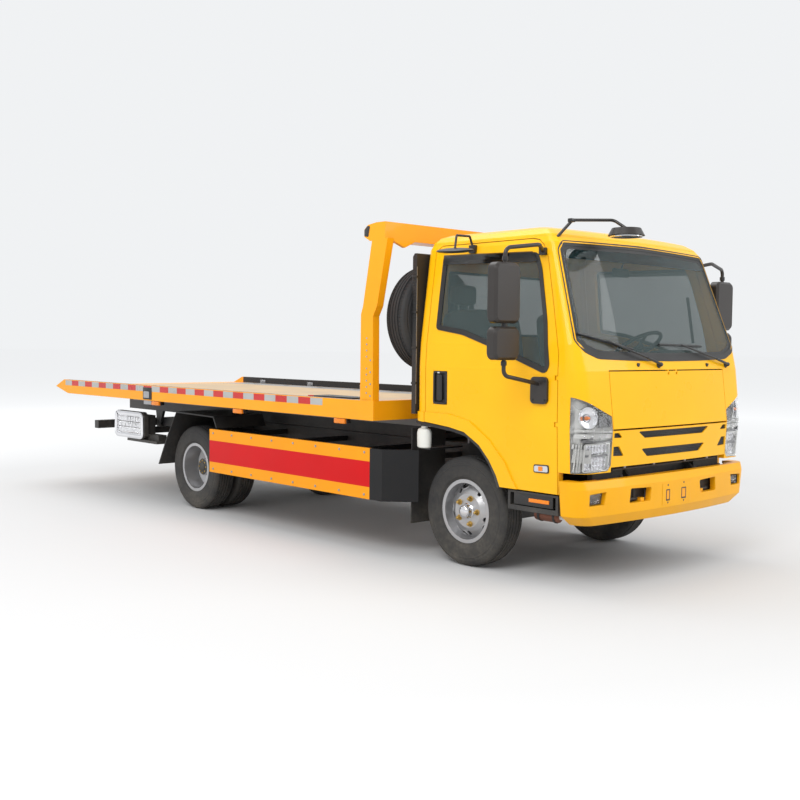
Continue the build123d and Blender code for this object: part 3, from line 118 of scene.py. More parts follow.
def mixed(tree, mask, first, second):
    """A colour between two colours."""
    made = node(tree, "ShaderNodeMix", data_type="RGBA")
    for value, key, kind in ((mask, "Factor", "VALUE"), (first, "A", "RGBA"), (second, "B", "RGBA")):
        place = [s for s in made.inputs if s.name == key and s.type == kind][0]
        if isinstance(value, (int, float, tuple)):
            place.default_value = value
        else:
            tree.links.new(value, place)
    return [s for s in made.outputs if s.type == "RGBA"][0]


def inside(tree, limits, soft=0.0):
    """A mask of the space between two places along some of the axes, its edges soft or sharp."""
    split = node(tree, "ShaderNodeSeparateXYZ")
    tree.links.new(node(tree, "ShaderNodeTexCoord").outputs["Object"], split.inputs[0])
    mask = None
    for axis, (low, high) in limits.items():
        for edge, way in ((low, 1), (high, -1)):
            step = ramp(tree, split.outputs[axis], edge - soft - 0.0002, edge + soft, *((0.0, 1.0)[::way]))
            mask = step if mask is None else maths(tree, "MULTIPLY", mask, step)
    return mask


def build_edge_wear():
    """A mask of the edges, broken up by noise."""
    g, i, o = new_group("edge_wear", [("Radius", "NodeSocketFloat", 0.004), ("Amount", "NodeSocketFloat", 0.5)],
                        [("Mask", "NodeSocketFloat")])
    coords = node(g, "ShaderNodeTexCoord").outputs["Object"]
    rounded = node(g, "ShaderNodeBevel", samples=4)
    g.links.new(i.outputs["Radius"], rounded.inputs["Radius"])
    plain = node(g, "ShaderNodeNewGeometry")
    dot = node(g, "ShaderNodeVectorMath", operation="DOT_PRODUCT")
    g.links.new(rounded.outputs[0], dot.inputs[0])
    g.links.new(plain.outputs["Normal"], dot.inputs[1])
    edge = ramp(g, dot.outputs["Value"], 0.995, 0.90)
    chips = ramp(g, noise(g, coords, 60.0, 4.0), 0.52, 0.62)
    g.links.new(maths(g, "MULTIPLY", maths(g, "MULTIPLY", edge, chips), i.outputs["Amount"]), o.inputs["Mask"])
    return g


def build_road_dust():
    """A mask of dry dust: patchy, and thicker low down."""
    g, i, o = new_group("road_dust", [("Amount", "NodeSocketFloat", 0.3), ("Height", "NodeSocketFloat", 1.0)],
                        [("Mask", "NodeSocketFloat")])
    coords = node(g, "ShaderNodeTexCoord").outputs["Object"]
    split = node(g, "ShaderNodeSeparateXYZ")
    g.links.new(coords, split.inputs[0])
    low = maths(g, "SUBTRACT", 1.0, maths(g, "DIVIDE", split.outputs["Z"], i.outputs["Height"]))
    low = maths(g, "MAXIMUM", low, 0.12)
    patches = ramp(g, noise(g, coords, 2.6, 6.0, 0.62), 0.36, 0.72)
    fine = ramp(g, noise(g, coords, 45.0, 3.0), 0.3, 0.75, 0.45, 1.0)
    mask = maths(g, "MULTIPLY", maths(g, "MULTIPLY", low, patches), fine)
    g.links.new(maths(g, "MINIMUM", maths(g, "MULTIPLY", mask, i.outputs["Amount"]), 1.0), o.inputs["Mask"])
    return g


def build_surface_grain():
    """Fine height, and a slow change of tone, for paint, plastic and rubber."""
    g, i, o = new_group("surface_grain", [("Scale", "NodeSocketFloat", 300.0), ("Slow", "NodeSocketFloat", 3.0)],
                        [("Height", "NodeSocketFloat"), ("Tone", "NodeSocketFloat")])
    coords = node(g, "ShaderNodeTexCoord").outputs["Object"]
    fine = node(g, "ShaderNodeTexNoise", {"Detail": 2.0})
    slow = node(g, "ShaderNodeTexNoise", {"Detail": 4.0})
    for made, label in ((fine, "Scale"), (slow, "Slow")):
        g.links.new(coords, made.inputs["Vector"])
        g.links.new(i.outputs[label], made.inputs["Scale"])
    g.links.new(fine.outputs["Fac"], o.inputs["Height"])
    g.links.new(slow.outputs["Fac"], o.inputs["Tone"])
    return g


EDGE_WEAR = build_edge_wear()
ROAD_DUST = build_road_dust()
SURFACE_GRAIN = build_surface_grain()
DUST = (0.30, 0.26, 0.20, 1)


def effect(tree, group, values):
    made = node(tree, "ShaderNodeGroup", node_tree=group)
    for key, value in values.items():
        made.inputs[key].default_value = value
    return made


def surface(name, colour, rough, metallic=0.0, coat=0.0, grain=300.0, bump=0.05, dust=0.2, dust_height=1.2,
            wear=0.0, wear_colour=(0.25, 0.25, 0.25, 1), soft_edge=0.0, tone=0.06, patches=(), extra=None):
    """A finish with a grain, a slow change of tone, dust, worn edges and softened edges. patches are colours
    painted between places along the axes, and extra sets further shader values."""
    made = bpy.data.materials.new(name)
    made.use_nodes = True
    tree = made.node_tree
    shader = tree.nodes["Principled BSDF"]
    shader.inputs["Metallic"].default_value = metallic
    shader.inputs["Coat Weight"].default_value = coat
    shader.inputs["Coat Roughness"].default_value = 0.04
    for key, value in (extra or {}).items():
        shader.inputs[key].default_value = value
    texture = effect(tree, SURFACE_GRAIN, {"Scale": grain, "Slow": 3.0})
    shown = tuple(colour) + (1,)
    for patch, limits in patches:
        shown = mixed(tree, inside(tree, limits), shown, tuple(patch) + (1,))
    shown = mixed(tree, ramp(tree, texture.outputs["Tone"], 0.35, 0.65, tone, 0.0), shown, (0, 0, 0, 1))
    rough_now = ramp(tree, texture.outputs["Tone"], 0.3, 0.7, rough * 0.88, min(rough * 1.15, 1))
    if wear:
        worn = effect(tree, EDGE_WEAR, {"Amount": wear}).outputs["Mask"]
        shown = mixed(tree, worn, shown, wear_colour)
    if dust:
        dirt = effect(tree, ROAD_DUST, {"Amount": dust, "Height": dust_height}).outputs["Mask"]
        shown = mixed(tree, dirt, shown, DUST)
        rough_now = maths(tree, "MAXIMUM", rough_now, maths(tree, "MULTIPLY", dirt, 0.9))
    tree.links.new(shown, shader.inputs["Base Color"])
    tree.links.new(rough_now, shader.inputs["Roughness"])
    bumped = node(tree, "ShaderNodeBump", {"Strength": bump, "Distance": 0.002})
    tree.links.new(texture.outputs["Height"], bumped.inputs["Height"])
    if soft_edge:
        rounded = node(tree, "ShaderNodeBevel", {"Radius": soft_edge}, samples=4)
        tree.links.new(rounded.outputs[0], bumped.inputs["Normal"])
    tree.links.new(bumped.outputs[0], shader.inputs["Normal"])
    return made


YELLOW = (0.93, 0.47, 0.004)
ORANGE = (0.92, 0.36, 0.004)
SKIRT_ORANGE = (0.90, 0.33, 0.003)
RED = (0.60, 0.001, 0.003)

BLACK = (0.014, 0.014, 0.015)
FAR = 9.0  # past the end of anything on the vehicle
SKIRT_BEND = AX - 0.735
RAIL_INNER = 1.1485

DEEP = {"Specular IOR Level": 0.15}
cab_paint = surface("cab_paint", YELLOW, 0.30, coat=0.22, grain=420, bump=0.02, dust=0.06, soft_edge=0.004, tone=0.04,
                    extra=DEEP)
bumper_paint = surface("bumper_paint", (0.86, 0.40, 0.003), 0.36, coat=0.16, grain=420, bump=0.02, dust=0.08,
                       soft_edge=0.008, tone=0.05, extra=DEEP)
RAIL_PATCH = (BLACK, {"Y": (-RAIL_INNER, RAIL_INNER), "X": (-3.24, 1.639), "Z": (1.0605, 1.1255)})
deck_orange = surface("deck_orange", ORANGE, 0.34, patches=[RAIL_PATCH], coat=0.25, grain=260, bump=0.03,
                      dust=0.07, dust_height=1.6, wear=0.6, wear_colour=(0.18, 0.10, 0.05, 1), soft_edge=0.003,
                      tone=0.06, extra=DEEP)
skirt_paint = surface("skirt_paint", SKIRT_ORANGE, 0.34, coat=0.06, grain=260, bump=0.03, dust=0.03, soft_edge=0.004,
                      extra=DEEP,
                      patches=[(RED, {"X": (-FAR, SKIRT_BEND), "Z": (0.490, 0.678)}), (BLACK, {"Y": (-1.053, 1.053)}),
                               (BLACK, {"X": (SKIRT_BEND, FAR)})])
chassis_paint = surface("chassis_paint", (0.018, 0.018, 0.019), 0.45, grain=180, bump=0.10, dust=0.55,
                        soft_edge=0.003, wear=0.5, wear_colour=(0.12, 0.07, 0.04, 1), tone=0.3)
# painted reflection: the deck floor from the near rail across to y 0.8 is painted tan, standing in for the orange
# near rail reflected in the floor
RAIL_REFLECTION_TAN = (0.56, 0.38, 0.19)
deck_paint = surface("deck_plate", (0.30, 0.29, 0.28), 0.42, grain=140, bump=0.15, dust=0.35, dust_height=2.4,
                     soft_edge=0.002, tone=0.2, patches=[(RAIL_REFLECTION_TAN, {"Y": (-1.2, 0.80), "Z": (1.055, 1.1)})])
black_plastic = surface("black_plastic", (0.016, 0.016, 0.017), 0.55, grain=700, bump=0.12, dust=0.45,
                        soft_edge=0.004)
trim_black = surface("trim_black", (0.012, 0.012, 0.013), 0.35, grain=500, bump=0.04, dust=0.15, soft_edge=0.002)
grey_plastic = surface("grey_plastic", (0.10, 0.10, 0.105), 0.6, grain=900, bump=0.15, dust=0.1, soft_edge=0.006)
mirror_shell = surface("mirror_shell", (0.022, 0.018, 0.016), 0.34, grain=600, bump=0.05, dust=0.12, soft_edge=0.006)
wheel_paint = surface("wheel_paint", (0.46, 0.46, 0.47), 0.30, metallic=0.75, grain=300, bump=0.04, dust=0.30,
                      soft_edge=0.003)
chrome = surface("chrome", (0.75, 0.75, 0.77), 0.10, metallic=1.0, grain=200, bump=0.01, dust=0.05)
cast = surface("cast_iron", (0.06, 0.06, 0.06), 0.6, metallic=0.4, grain=120, bump=0.5, dust=0.6, tone=0.3)
tyre_rubber = surface("tyre_rubber", (0.022, 0.022, 0.023), 0.75, grain=260, bump=0.2, dust=0.45, dust_height=0.9,
                      tone=0.2)
zinc = surface("zinc_yellow", (0.55, 0.36, 0.10), 0.35, metallic=0.9, grain=200, bump=0.05, dust=0.2, tone=0.15)
steel = surface("bare_steel", (0.45, 0.45, 0.46), 0.35, metallic=0.9, grain=200, bump=0.06, dust=0.3, tone=0.15)
bottle_white = surface("bottle_white", (0.75, 0.75, 0.70), 0.45, grain=200, bump=0.05, dust=0.25, tone=0.05)


def seat_cloth(name, colour):
    """Woven seat cloth: two crossed threads, with a soft sheen."""
    made = surface(name, colour, 0.9, grain=900, bump=0.1, dust=0.05, tone=0.12, extra={"Sheen Weight": 0.3})
    tree = made.node_tree
    coords = node(tree, "ShaderNodeTexCoord").outputs["Object"]
    threads = [node(tree, "ShaderNodeTexWave", {"Scale": 160.0}, bands_direction=way) for way in ("Y", "Z")]
    for thread in threads:
        tree.links.new(coords, thread.inputs["Vector"])
    weave = maths(tree, "MAXIMUM", threads[0].outputs["Fac"], threads[1].outputs["Fac"])
    bumped = node(tree, "ShaderNodeBump", {"Strength": 0.35, "Distance": 0.001})
    tree.links.new(weave, bumped.inputs["Height"])
    tree.links.new(bumped.outputs[0], tree.nodes["Principled BSDF"].inputs["Normal"])
    return made


fabric = seat_cloth("seat_cloth", (0.10, 0.10, 0.105))


def clear(name, colour, rough=0.0, alpha=0.4, bump=0.0, through=1.0, film=0.10, glint=0.5):
    """Glass or a lamp's lens."""
    made = bpy.data.materials.new(name)
    made.use_nodes = True
    tree = made.node_tree
    shader = tree.nodes["Principled BSDF"]
    shader.inputs["Transmission Weight"].default_value = through
    shader.inputs["IOR"].default_value = 1.45
    shader.inputs["Specular IOR Level"].default_value = glint
    shader.inputs["Alpha"].default_value = alpha
    film = effect(tree, ROAD_DUST, {"Amount": film, "Height": 3.0}).outputs["Mask"]
    tree.links.new(mixed(tree, film, tuple(colour) + (1,), DUST), shader.inputs["Base Color"])
    tree.links.new(ramp(tree, film, 0.0, 0.4, rough, rough + 0.12), shader.inputs["Roughness"])
    if bump:
        texture = effect(tree, SURFACE_GRAIN, {"Scale": 90.0, "Slow": 5.0})
        bumped = node(tree, "ShaderNodeBump", {"Strength": bump, "Distance": 0.002})
        tree.links.new(texture.outputs["Height"], bumped.inputs["Height"])
        tree.links.new(bumped.outputs[0], shader.inputs["Normal"])
    return made


window_glass = clear("window_glass", (0.07, 0.10, 0.10), alpha=0.42, through=0.0, film=0.02, glint=0.35)
lens_clear = clear("lens_clear", (0.95, 0.96, 0.97), 0.01, alpha=0.16)
lens_amber = clear("lens_amber", (1.0, 0.28, 0.01), 0.12, alpha=0.95, bump=0.4, through=0.2)
lens_red = clear("lens_red", (0.75, 0.01, 0.01), 0.12, alpha=0.95, bump=0.4, through=0.2)
mirror_glass = surface("mirror_glass", (0.80, 0.82, 0.83), 0.02, metallic=1.0, grain=50, bump=0.0, dust=0.08)
tape_red = surface("tape_red", (0.55, 0.012, 0.010), 0.3, grain=900, bump=0.25, dust=0.15, tone=0.1)
tape_grey = surface("tape_grey", (0.42, 0.42, 0.40), 0.3, grain=900, bump=0.25, dust=0.2, tone=0.1)

FINISH = {
    "cab_roof": cab_paint, "cab_back": cab_paint, "cab_front": cab_paint, "grille": cab_paint, "front_lid": cab_paint,
    "door_left": cab_paint, "door_right": cab_paint, "bumper": bumper_paint,
    "bed_rails": deck_orange, "headboard": deck_orange, "bed_floor": deck_paint, "side_skirts": skirt_paint,
    "cab_floor": black_plastic, "dashboard": grey_plastic, "steering_wheel": black_plastic, "seats": fabric,
    "cab_glass": window_glass, "door_glass_left": window_glass, "door_glass_right": window_glass,
    "mirror_left": mirror_shell, "mirror_right": mirror_shell, "front_mirror": mirror_shell,
    "headlamps": lens_clear, "rear_lamps": black_plastic,
    "tyre_front_left": tyre_rubber, "tyre_front_right": tyre_rubber, "tyres_rear_left": tyre_rubber,
    "tyres_rear_right": tyre_rubber, "spare_tyre": tyre_rubber,
    "rim_front_left": wheel_paint, "rim_front_right": wheel_paint, "rims_rear_left": wheel_paint,
    "rims_rear_right": wheel_paint, "spare_carrier": wheel_paint,
    "air_intake": black_plastic, "mudguards": black_plastic, "cab_steps": black_plastic,
    "engine": cast, "knuckle_left": cast, "knuckle_right": cast, "slide_rod": chrome, "tilt_rods": chrome,
}
for label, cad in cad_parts.items():
    cad.data.materials.clear()
    cad.data.materials.append(FINISH.get(label, chassis_paint))

# ---------------------------------------------------------------- stage
def stage_material(name, value):
    """A plain matt grey."""
    made = bpy.data.materials.new(name)
    made.use_nodes = True
    shader = made.node_tree.nodes["Principled BSDF"]
    shader.inputs["Base Color"].default_value = (value, value, value, 1)
    shader.inputs["Roughness"].default_value = 0.9
    return made


def finish_mesh(name, bm, material, smooth=35.0):
    """A bmesh made into an object at the origin, its faces smooth below an angle."""
    mesh = bpy.data.meshes.new(name)
    bm.to_mesh(mesh)
    bm.free()
    made = bpy.data.objects.new(name, mesh)
    bpy.context.scene.collection.objects.link(made)
    for one in material if isinstance(material, (list, tuple)) else [material]:
        mesh.materials.append(one)
    mesh.shade_smooth()
    if smooth:
        mesh.set_sharp_from_angle(angle=math.radians(smooth))
    return made


bm = bmesh.new()
bmesh.ops.create_circle(bm, cap_ends=True, segments=128, radius=400)
# the floor grows as pale as the sky away from the vehicle
NEAR_GREY, FAR_GREY, NEAR, AWAY = 0.60, 0.985, 5.0, 16.0
pale = stage_material("studio_floor", NEAR_GREY)
spread = node(pale.node_tree, "ShaderNodeVectorMath", {}, operation="LENGTH")
pale.node_tree.links.new(node(pale.node_tree, "ShaderNodeTexCoord", {}).outputs["Object"], spread.inputs[0])
paler = ramp(pale.node_tree, spread.outputs["Value"], NEAR, AWAY, NEAR_GREY, FAR_GREY)
pale.node_tree.links.new(paler, pale.node_tree.nodes["Principled BSDF"].inputs["Base Color"])
pale.node_tree.nodes["Principled BSDF"].inputs["Specular IOR Level"].default_value = 0.0
floor = finish_mesh("studio_floor", bm, pale)
floor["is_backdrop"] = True

world = bpy.data.worlds.new("studio")
world.use_nodes = True
world.node_tree.nodes["Background"].inputs[0].default_value = (0.97, 0.985, 1.0, 1)
world.node_tree.nodes["Background"].inputs[1].default_value = 0.90
bpy.context.scene.world = world


def soft_light(name, place, aim, size, power):
    """A round area light that looks at a place."""
    data = bpy.data.lights.new(name, "AREA")
    data.shape, data.size, data.energy = "DISK", size, power
    made = bpy.data.objects.new(name, data)
    made.location = place
    made.rotation_euler = (Vector(aim) - Vector(place)).to_track_quat("-Z", "Y").to_euler()
    bpy.context.scene.collection.objects.link(made)


for light in (
    # name, place, what it looks at, size, power
    ("key", (6, -10, 9), (0, 0, 1), 7, 820), ("fill", (12, 6, 7), (2, 0, 1), 8, 480),
    ("top", (-2, 0, 12), (-1, 0, 0), 10, 620), ("back", (-12, -4, 6), (0, 0, 1), 7, 260),
):
    soft_light(*light)

CAMERA_PLACE = (7.3205, -6.0799, 1.5265)
FOCAL_PIXELS, PICTURE_WIDTH, SENSOR = 1051.459, 800, 36
YAW, PITCH, ROLL = (math.radians(a) for a in (137.293, -2.998, 0.606))
ahead = Vector((math.cos(YAW) * math.cos(PITCH), math.sin(YAW) * math.cos(PITCH), math.sin(PITCH)))
right = ahead.cross(Vector((0, 0, 1))).normalized()
up = right.cross(ahead)
across = right * math.cos(ROLL) + up * math.sin(ROLL)
upright = up * math.cos(ROLL) - right * math.sin(ROLL)
camera = bpy.data.objects.new("camera", bpy.data.cameras.new("camera"))
camera.data.sensor_width = SENSOR
camera.data.lens = FOCAL_PIXELS / PICTURE_WIDTH * SENSOR
camera.data.clip_end = 200
turn = Matrix((across, upright, -ahead)).transposed().to_4x4()
camera.matrix_world = Matrix.Translation(CAMERA_PLACE) @ turn
bpy.context.scene.collection.objects.link(camera)
bpy.context.scene.camera = camera
bpy.context.scene.view_settings.view_transform = "Standard"

# ---------------------------------------------------------------- shapes
SIDE_ON = Matrix(((1, 0, 0, 0), (0, 0, -1, 0), (0, 1, 0, 0), (0, 0, 0, 1)))
FRONT_ON = Matrix(((0, 0, 1, 0), (1, 0, 0, 0), (0, 1, 0, 0), (0, 0, 0, 1)))
FORWARD, UPWARD, BACKWARD = Vector((1, 0, 0)), Vector((0, 0, 1)), Vector((-1, 0, 0))


def at(x, y, z):
    """A place in metres, from millimetres ahead of the front axle, to the left and up."""
    return Vector((AX + x / 1000, y / 1000, z / 1000))


def bevelled(shape, edge, segments=2):
    """A shape with its sharp edges rounded, in millimetres."""
    sharp = [e for e in shape.edges if e.is_manifold and e.calc_face_angle(0) > 0.5]
    if edge and sharp:
        bmesh.ops.bevel(shape, geom=sharp, offset=edge / 1000, offset_type="OFFSET", segments=segments, profile=0.5,
                        affect="EDGES", clamp_overlap=True, material=-1)
    return shape


def block(low, high, edge=2.0, segments=2):
    """A box between two corners given as at() takes them."""
    shape = bmesh.new()
    bmesh.ops.create_cube(shape, size=1.0)
    low, high = at(*low), at(*high)
    bmesh.ops.scale(shape, vec=[abs(b - a) for a, b in zip(low, high)], verts=shape.verts)
    bmesh.ops.translate(shape, vec=(low + high) / 2, verts=shape.verts)
    return bevelled(shape, edge, segments)


def turned(profile, steps=32, ring=False):
    """A shape turned about Z from a profile of (radius, height) in millimetres."""
    shape = bmesh.new()
    points = [shape.verts.new((r / 1000, 0, h / 1000)) for r, h in profile]
    pairs = list(zip(points, points[1:])) + ([(points[-1], points[0])] if ring else [])
    edges = [shape.edges.new(pair) for pair in pairs]
    bmesh.ops.spin(shape, geom=points + edges, cent=(0, 0, 0), axis=(0, 0, 1), dvec=(0, 0, 0), angle=math.tau,
                   steps=steps, use_merge=True, use_duplicate=False)
    bmesh.ops.remove_doubles(shape, verts=shape.verts, dist=1e-6)
    bmesh.ops.recalc_face_normals(shape, faces=shape.faces)
    return shape


def placed(shape, place, way, roll=0.0, stretch=(1, 1, 1)):
    """A shape made about Z, set at a place with its Z turned along a direction."""
    turn = Vector(way).to_track_quat("Z", "Y").to_matrix().to_4x4()
    size = Matrix.Diagonal((*stretch, 1))
    shape.transform(Matrix.Translation(place) @ turn @ Matrix.Rotation(roll, 4, "Z") @ size)
    return shape


def lathe(profile, steps, place, way, roll=0.0, stretch=(1, 1, 1)):
    """A turned shape set at a place, its axis along a direction."""
    return placed(turned(profile, steps), place, way, roll, stretch)


def bar(start, end, radius, steps=12):
    """A round bar between two places, its ends softened."""
    length = (end - start).length * 1000
    edge = min(radius * 0.3, 2.0)
    flat = radius - edge
    profile = [(0, 0), (flat, 0), (radius, edge), (radius, length - edge), (flat, length), (0, length)]
    return lathe(profile, steps, start, end - start)


def outline_face(outline, corner=0.0, steps=4):
    """A flat face from an outline in millimetres, its corners rounded."""
    shape = bmesh.new()
    shape.faces.new([shape.verts.new((a / 1000, b / 1000, 0)) for a, b in outline])
    if corner:
        bmesh.ops.bevel(shape, geom=shape.verts[:], offset=corner / 1000, offset_type="OFFSET", segments=steps,
                        profile=0.5, affect="VERTICES", clamp_overlap=True, material=-1)
    return shape


def thickened(shape, thickness, edge=1.0):
    """A flat shape made a plate towards its own Z."""
    made = bmesh.ops.extrude_face_region(shape, geom=shape.faces[:])
    upper = [v for v in made["geom"] if isinstance(v, bmesh.types.BMVert)]
    bmesh.ops.translate(shape, vec=(0, 0, thickness / 1000), verts=upper)
    bmesh.ops.recalc_face_normals(shape, faces=shape.faces)
    return bevelled(shape, edge)


def across_between(flat, y0, y1, edge=1.0):
    """A flat shape in X and Z made a plate between two places across."""
    shape = thickened(flat, abs(y1 - y0), edge)
    shape.transform(Matrix.Translation((AX, max(y0, y1) / 1000, 0)) @ SIDE_ON)
    return shape


def along_between(flat, x0, x1, edge=1.0):
    """A flat shape in Y and Z made a plate between two places along the vehicle."""
    shape = thickened(flat, x1 - x0, edge)
    shape.transform(Matrix.Translation((AX + x0 / 1000, 0, 0)) @ FRONT_ON)
    return shape


def side_plate(outline, y0, y1, edge=1.0, corner=0.0):
    return across_between(outline_face(outline, corner), y0, y1, edge)


def front_plate(outline, x0, x1, edge=1.0, corner=0.0):
    return along_between(outline_face(outline, corner), x0, x1, edge)


def ring_of(outline, width, corner, run=60):
    """A flat band inside an outline."""
    shape = outline_face(outline, corner)
    long = [e for e in shape.edges if e.calc_length() > run / 1000]
    bmesh.ops.subdivide_edges(shape, edges=long, cuts=8)
    middle = shape.faces[:]
    bmesh.ops.inset_individual(shape, faces=middle, thickness=width / 1000, use_even_offset=True)
    bmesh.ops.delete(shape, geom=middle, context="FACES_ONLY")
    return shape


def strip_of(corners, across=16, up=2):
    """A flat grid between four corners: low left, low right, top right, top left."""
    shape = bmesh.new()
    bmesh.ops.create_grid(shape, x_segments=across, y_segments=up, size=0.5)
    a, b, c, d = (Vector(p) / 1000 for p in corners)
    for vert in shape.verts:
        u, v = vert.co.x + 0.5, vert.co.y + 0.5
        place = (a * (1 - u) + b * u) * (1 - v) + (d * (1 - u) + c * u) * v
        vert.co = (place.x, place.y, 0)
    return shape


def laid_on(shape, tree, way, sunk, proud):
    """A flat shape laid on a surface along a direction, as a strip from under the surface to over it."""
    made = bmesh.ops.extrude_face_region(shape, geom=shape.faces[:])
    upper = {v for v in made["geom"] if isinstance(v, bmesh.types.BMVert)}
    for vert in shape.verts:
        place, normal = landed(tree, vert.co, way)
        vert.co = place + normal * (proud if vert in upper else -sunk) / 1000
    bmesh.ops.recalc_face_normals(shape, faces=shape.faces)
    return shape


def front_ring(outline, width, x0, x1, corner=6.0):
    return along_between(ring_of(outline, width, corner), x0, x1)


def side_ring(outline, width, y0, y1, corner=6.0):
    return across_between(ring_of(outline, width, corner), y0, y1)


def skin(*labels):
    """The surface of some nodes, to seat trim on."""
    merged = bmesh.new()
    for label in labels:
        merged.from_mesh(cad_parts[label].data)
    made = BVHTree.FromBMesh(merged)
    merged.free()
    return made


def landed(tree, start, way):
    """Where a ray meets a surface, or else the surface's nearest place, and the direction it faces."""
    place, normal, _, _ = tree.ray_cast(start, way)
    if place is None:
        place, normal, _, _ = tree.find_nearest(start)
    return place, normal


def copied(label):
    """A CAD node's mesh with its doubled points merged."""
    shape = bmesh.new()
    shape.from_mesh(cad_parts[label].data)
    bmesh.ops.remove_doubles(shape, verts=shape.verts, dist=1e-5)
    return shape


def facing_front(shape):
    """A flat shape in Y and Z, set well ahead of the cab."""
    shape.transform(Matrix.Translation((AX + 1.4, 0, 0)) @ FRONT_ON)
    return shape


def facing_side(shape, side):
    """A flat shape in X and Z, set well beside the cab."""
    shape.transform(Matrix.Translation((AX, side * 1.5, 0)) @ SIDE_ON)
    return shape


class Piece:
    """Shapes gathered into one object that rides on a body."""

    def __init__(self, name, body, *materials):
        self.name, self.body, self.materials, self.bm = name, body, materials, bmesh.new()

    def put(self, shape, slot=0):
        for face in shape.faces:
            face.material_index = slot
        mesh = bpy.data.meshes.new("shape")
        shape.to_mesh(mesh)
        shape.free()
        self.bm.from_mesh(mesh)
        bpy.data.meshes.remove(mesh)

    def done(self, *replaced, smooth=35.0):
        made = finish_mesh(self.name, self.bm, self.materials, smooth)
        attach(made, self.body)
        if replaced:
            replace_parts(made, *replaced)
        return made


# ---------------------------------------------------------------- tyres and wheel fittings
TYRE_R = 382.0
GROOVES = (-42.0, -14.0, 14.0, 42.0)
GROOVE_HALF = 3.5
GROOVE_DEPTH = 11.0
SIDEWALL = (
    # radius, half width, from the bead outwards
    (206.5, 70), (214, 80), (222, 85.5), (232, 88), (240, 96.5), (243, 98.5), (248, 98.5), (251, 99.5), (262, 100.5),
    (290, 102), (318, 100.5), (320, 102), (326, 101.5), (328, 99.5), (338, 98), (345, 98.5), (349, 96), (360, 92.5),
    (370, 86), (376.5, 76.5), (379, 70),
)
FRONT_HALF_TRACK = 752.0
REAR_HALF_TRACK = 712.5
DUAL_HALF = 117.5
STEPS = 80
# profiles of (radius, height) in millimetres
WASHER = ((0, 0), (21, 0), (21, 3), (18, 4), (0, 4))
NUT = ((0, 3), (16, 3), (16, 17), (13, 21), (0, 21))
STUD = ((0, 20), (9, 20), (9, 30), (7, 32), (0, 32))
HAND_HOLE = ((0, 0.6), (19, 0.6), (21, -2))
HAND_HOLE_RIM = ((19, -1), (19.5, 2.6), (21.5, 3.4), (25, 2.2), (28, -1))
HAND_HOLES = 5
HOLE_STRETCH = (1.0, 1.45, 1)


def tyre_profile():
    """The closed section of a ribbed tyre."""
    tread = []
    for middle in GROOVES:
        tread += [(TYRE_R, middle - GROOVE_HALF - 1), (TYRE_R - GROOVE_DEPTH, middle - GROOVE_HALF + 1)]
        tread += [(TYRE_R - GROOVE_DEPTH, middle + GROOVE_HALF - 1), (TYRE_R, middle + GROOVE_HALF + 1)]
    left = [(r, -w) for r, w in SIDEWALL]
    return left + tread + [(r, w) for r, w in reversed(SIDEWALL)]


def tyre_shape(place, way):
    """A tyre with cross cuts in its outer ribs."""
    shape = turned(tyre_profile(), STEPS, ring=True)
    lugs = [f for f in shape.faces if f.calc_center_median().xy.length > (TYRE_R - 2) / 1000
            and abs(f.calc_center_median().z) > 0.047 and f.calc_area() > 3e-4]
    bmesh.ops.inset_individual(shape, faces=lugs, thickness=0.0022, depth=-0.0045, use_even_offset=True)
    return placed(shape, place, way)


def wheel_face(piece, hub, out, disc, nut_r, nuts, slope):
    """Nuts with washers, pressed hand holes and a valve on a wheel's outer face. slope is the dished band's
    radius, its place outwards, and its lean."""
    radial, rise, lean = slope
    across = out.cross(UPWARD)
    for n in range(nuts):
        turn = math.tau * (n + 0.5) / nuts
        spoke = across * math.cos(turn) + UPWARD * math.sin(turn)
        seat = hub + spoke * nut_r / 1000 + out * disc / 1000
        piece.put(lathe(WASHER, 20, seat, out), 1)
        piece.put(lathe(NUT, 6, seat, out, turn), 1)
        piece.put(lathe(STUD, 14, seat, out), 1)
    for n in range(HAND_HOLES):
        turn = math.tau * n / HAND_HOLES
        spoke = across * math.cos(turn) + UPWARD * math.sin(turn)
        seat = hub + spoke * radial / 1000 + out * rise / 1000
        face = (out * math.cos(lean) + spoke * math.sin(lean)).normalized()
        axes = face.to_track_quat("Z", "Y").to_matrix()
        along = spoke.cross(out)
        roll = math.atan2(-along.dot(axes.col[0]), along.dot(axes.col[1]))
        piece.put(lathe(HAND_HOLE, 28, seat, face, roll, HOLE_STRETCH), 2)
        piece.put(placed(turned(HAND_HOLE_RIM, 28, ring=True), seat, face, roll, HOLE_STRETCH), 0)
    spoke = (across * 0.35 + UPWARD * 0.94).normalized()
    valve = hub + spoke * 0.186 + out * (rise - 12) / 1000
    piece.put(bar(valve, valve + out * 0.035 - spoke * 0.012, 4.5), 2)


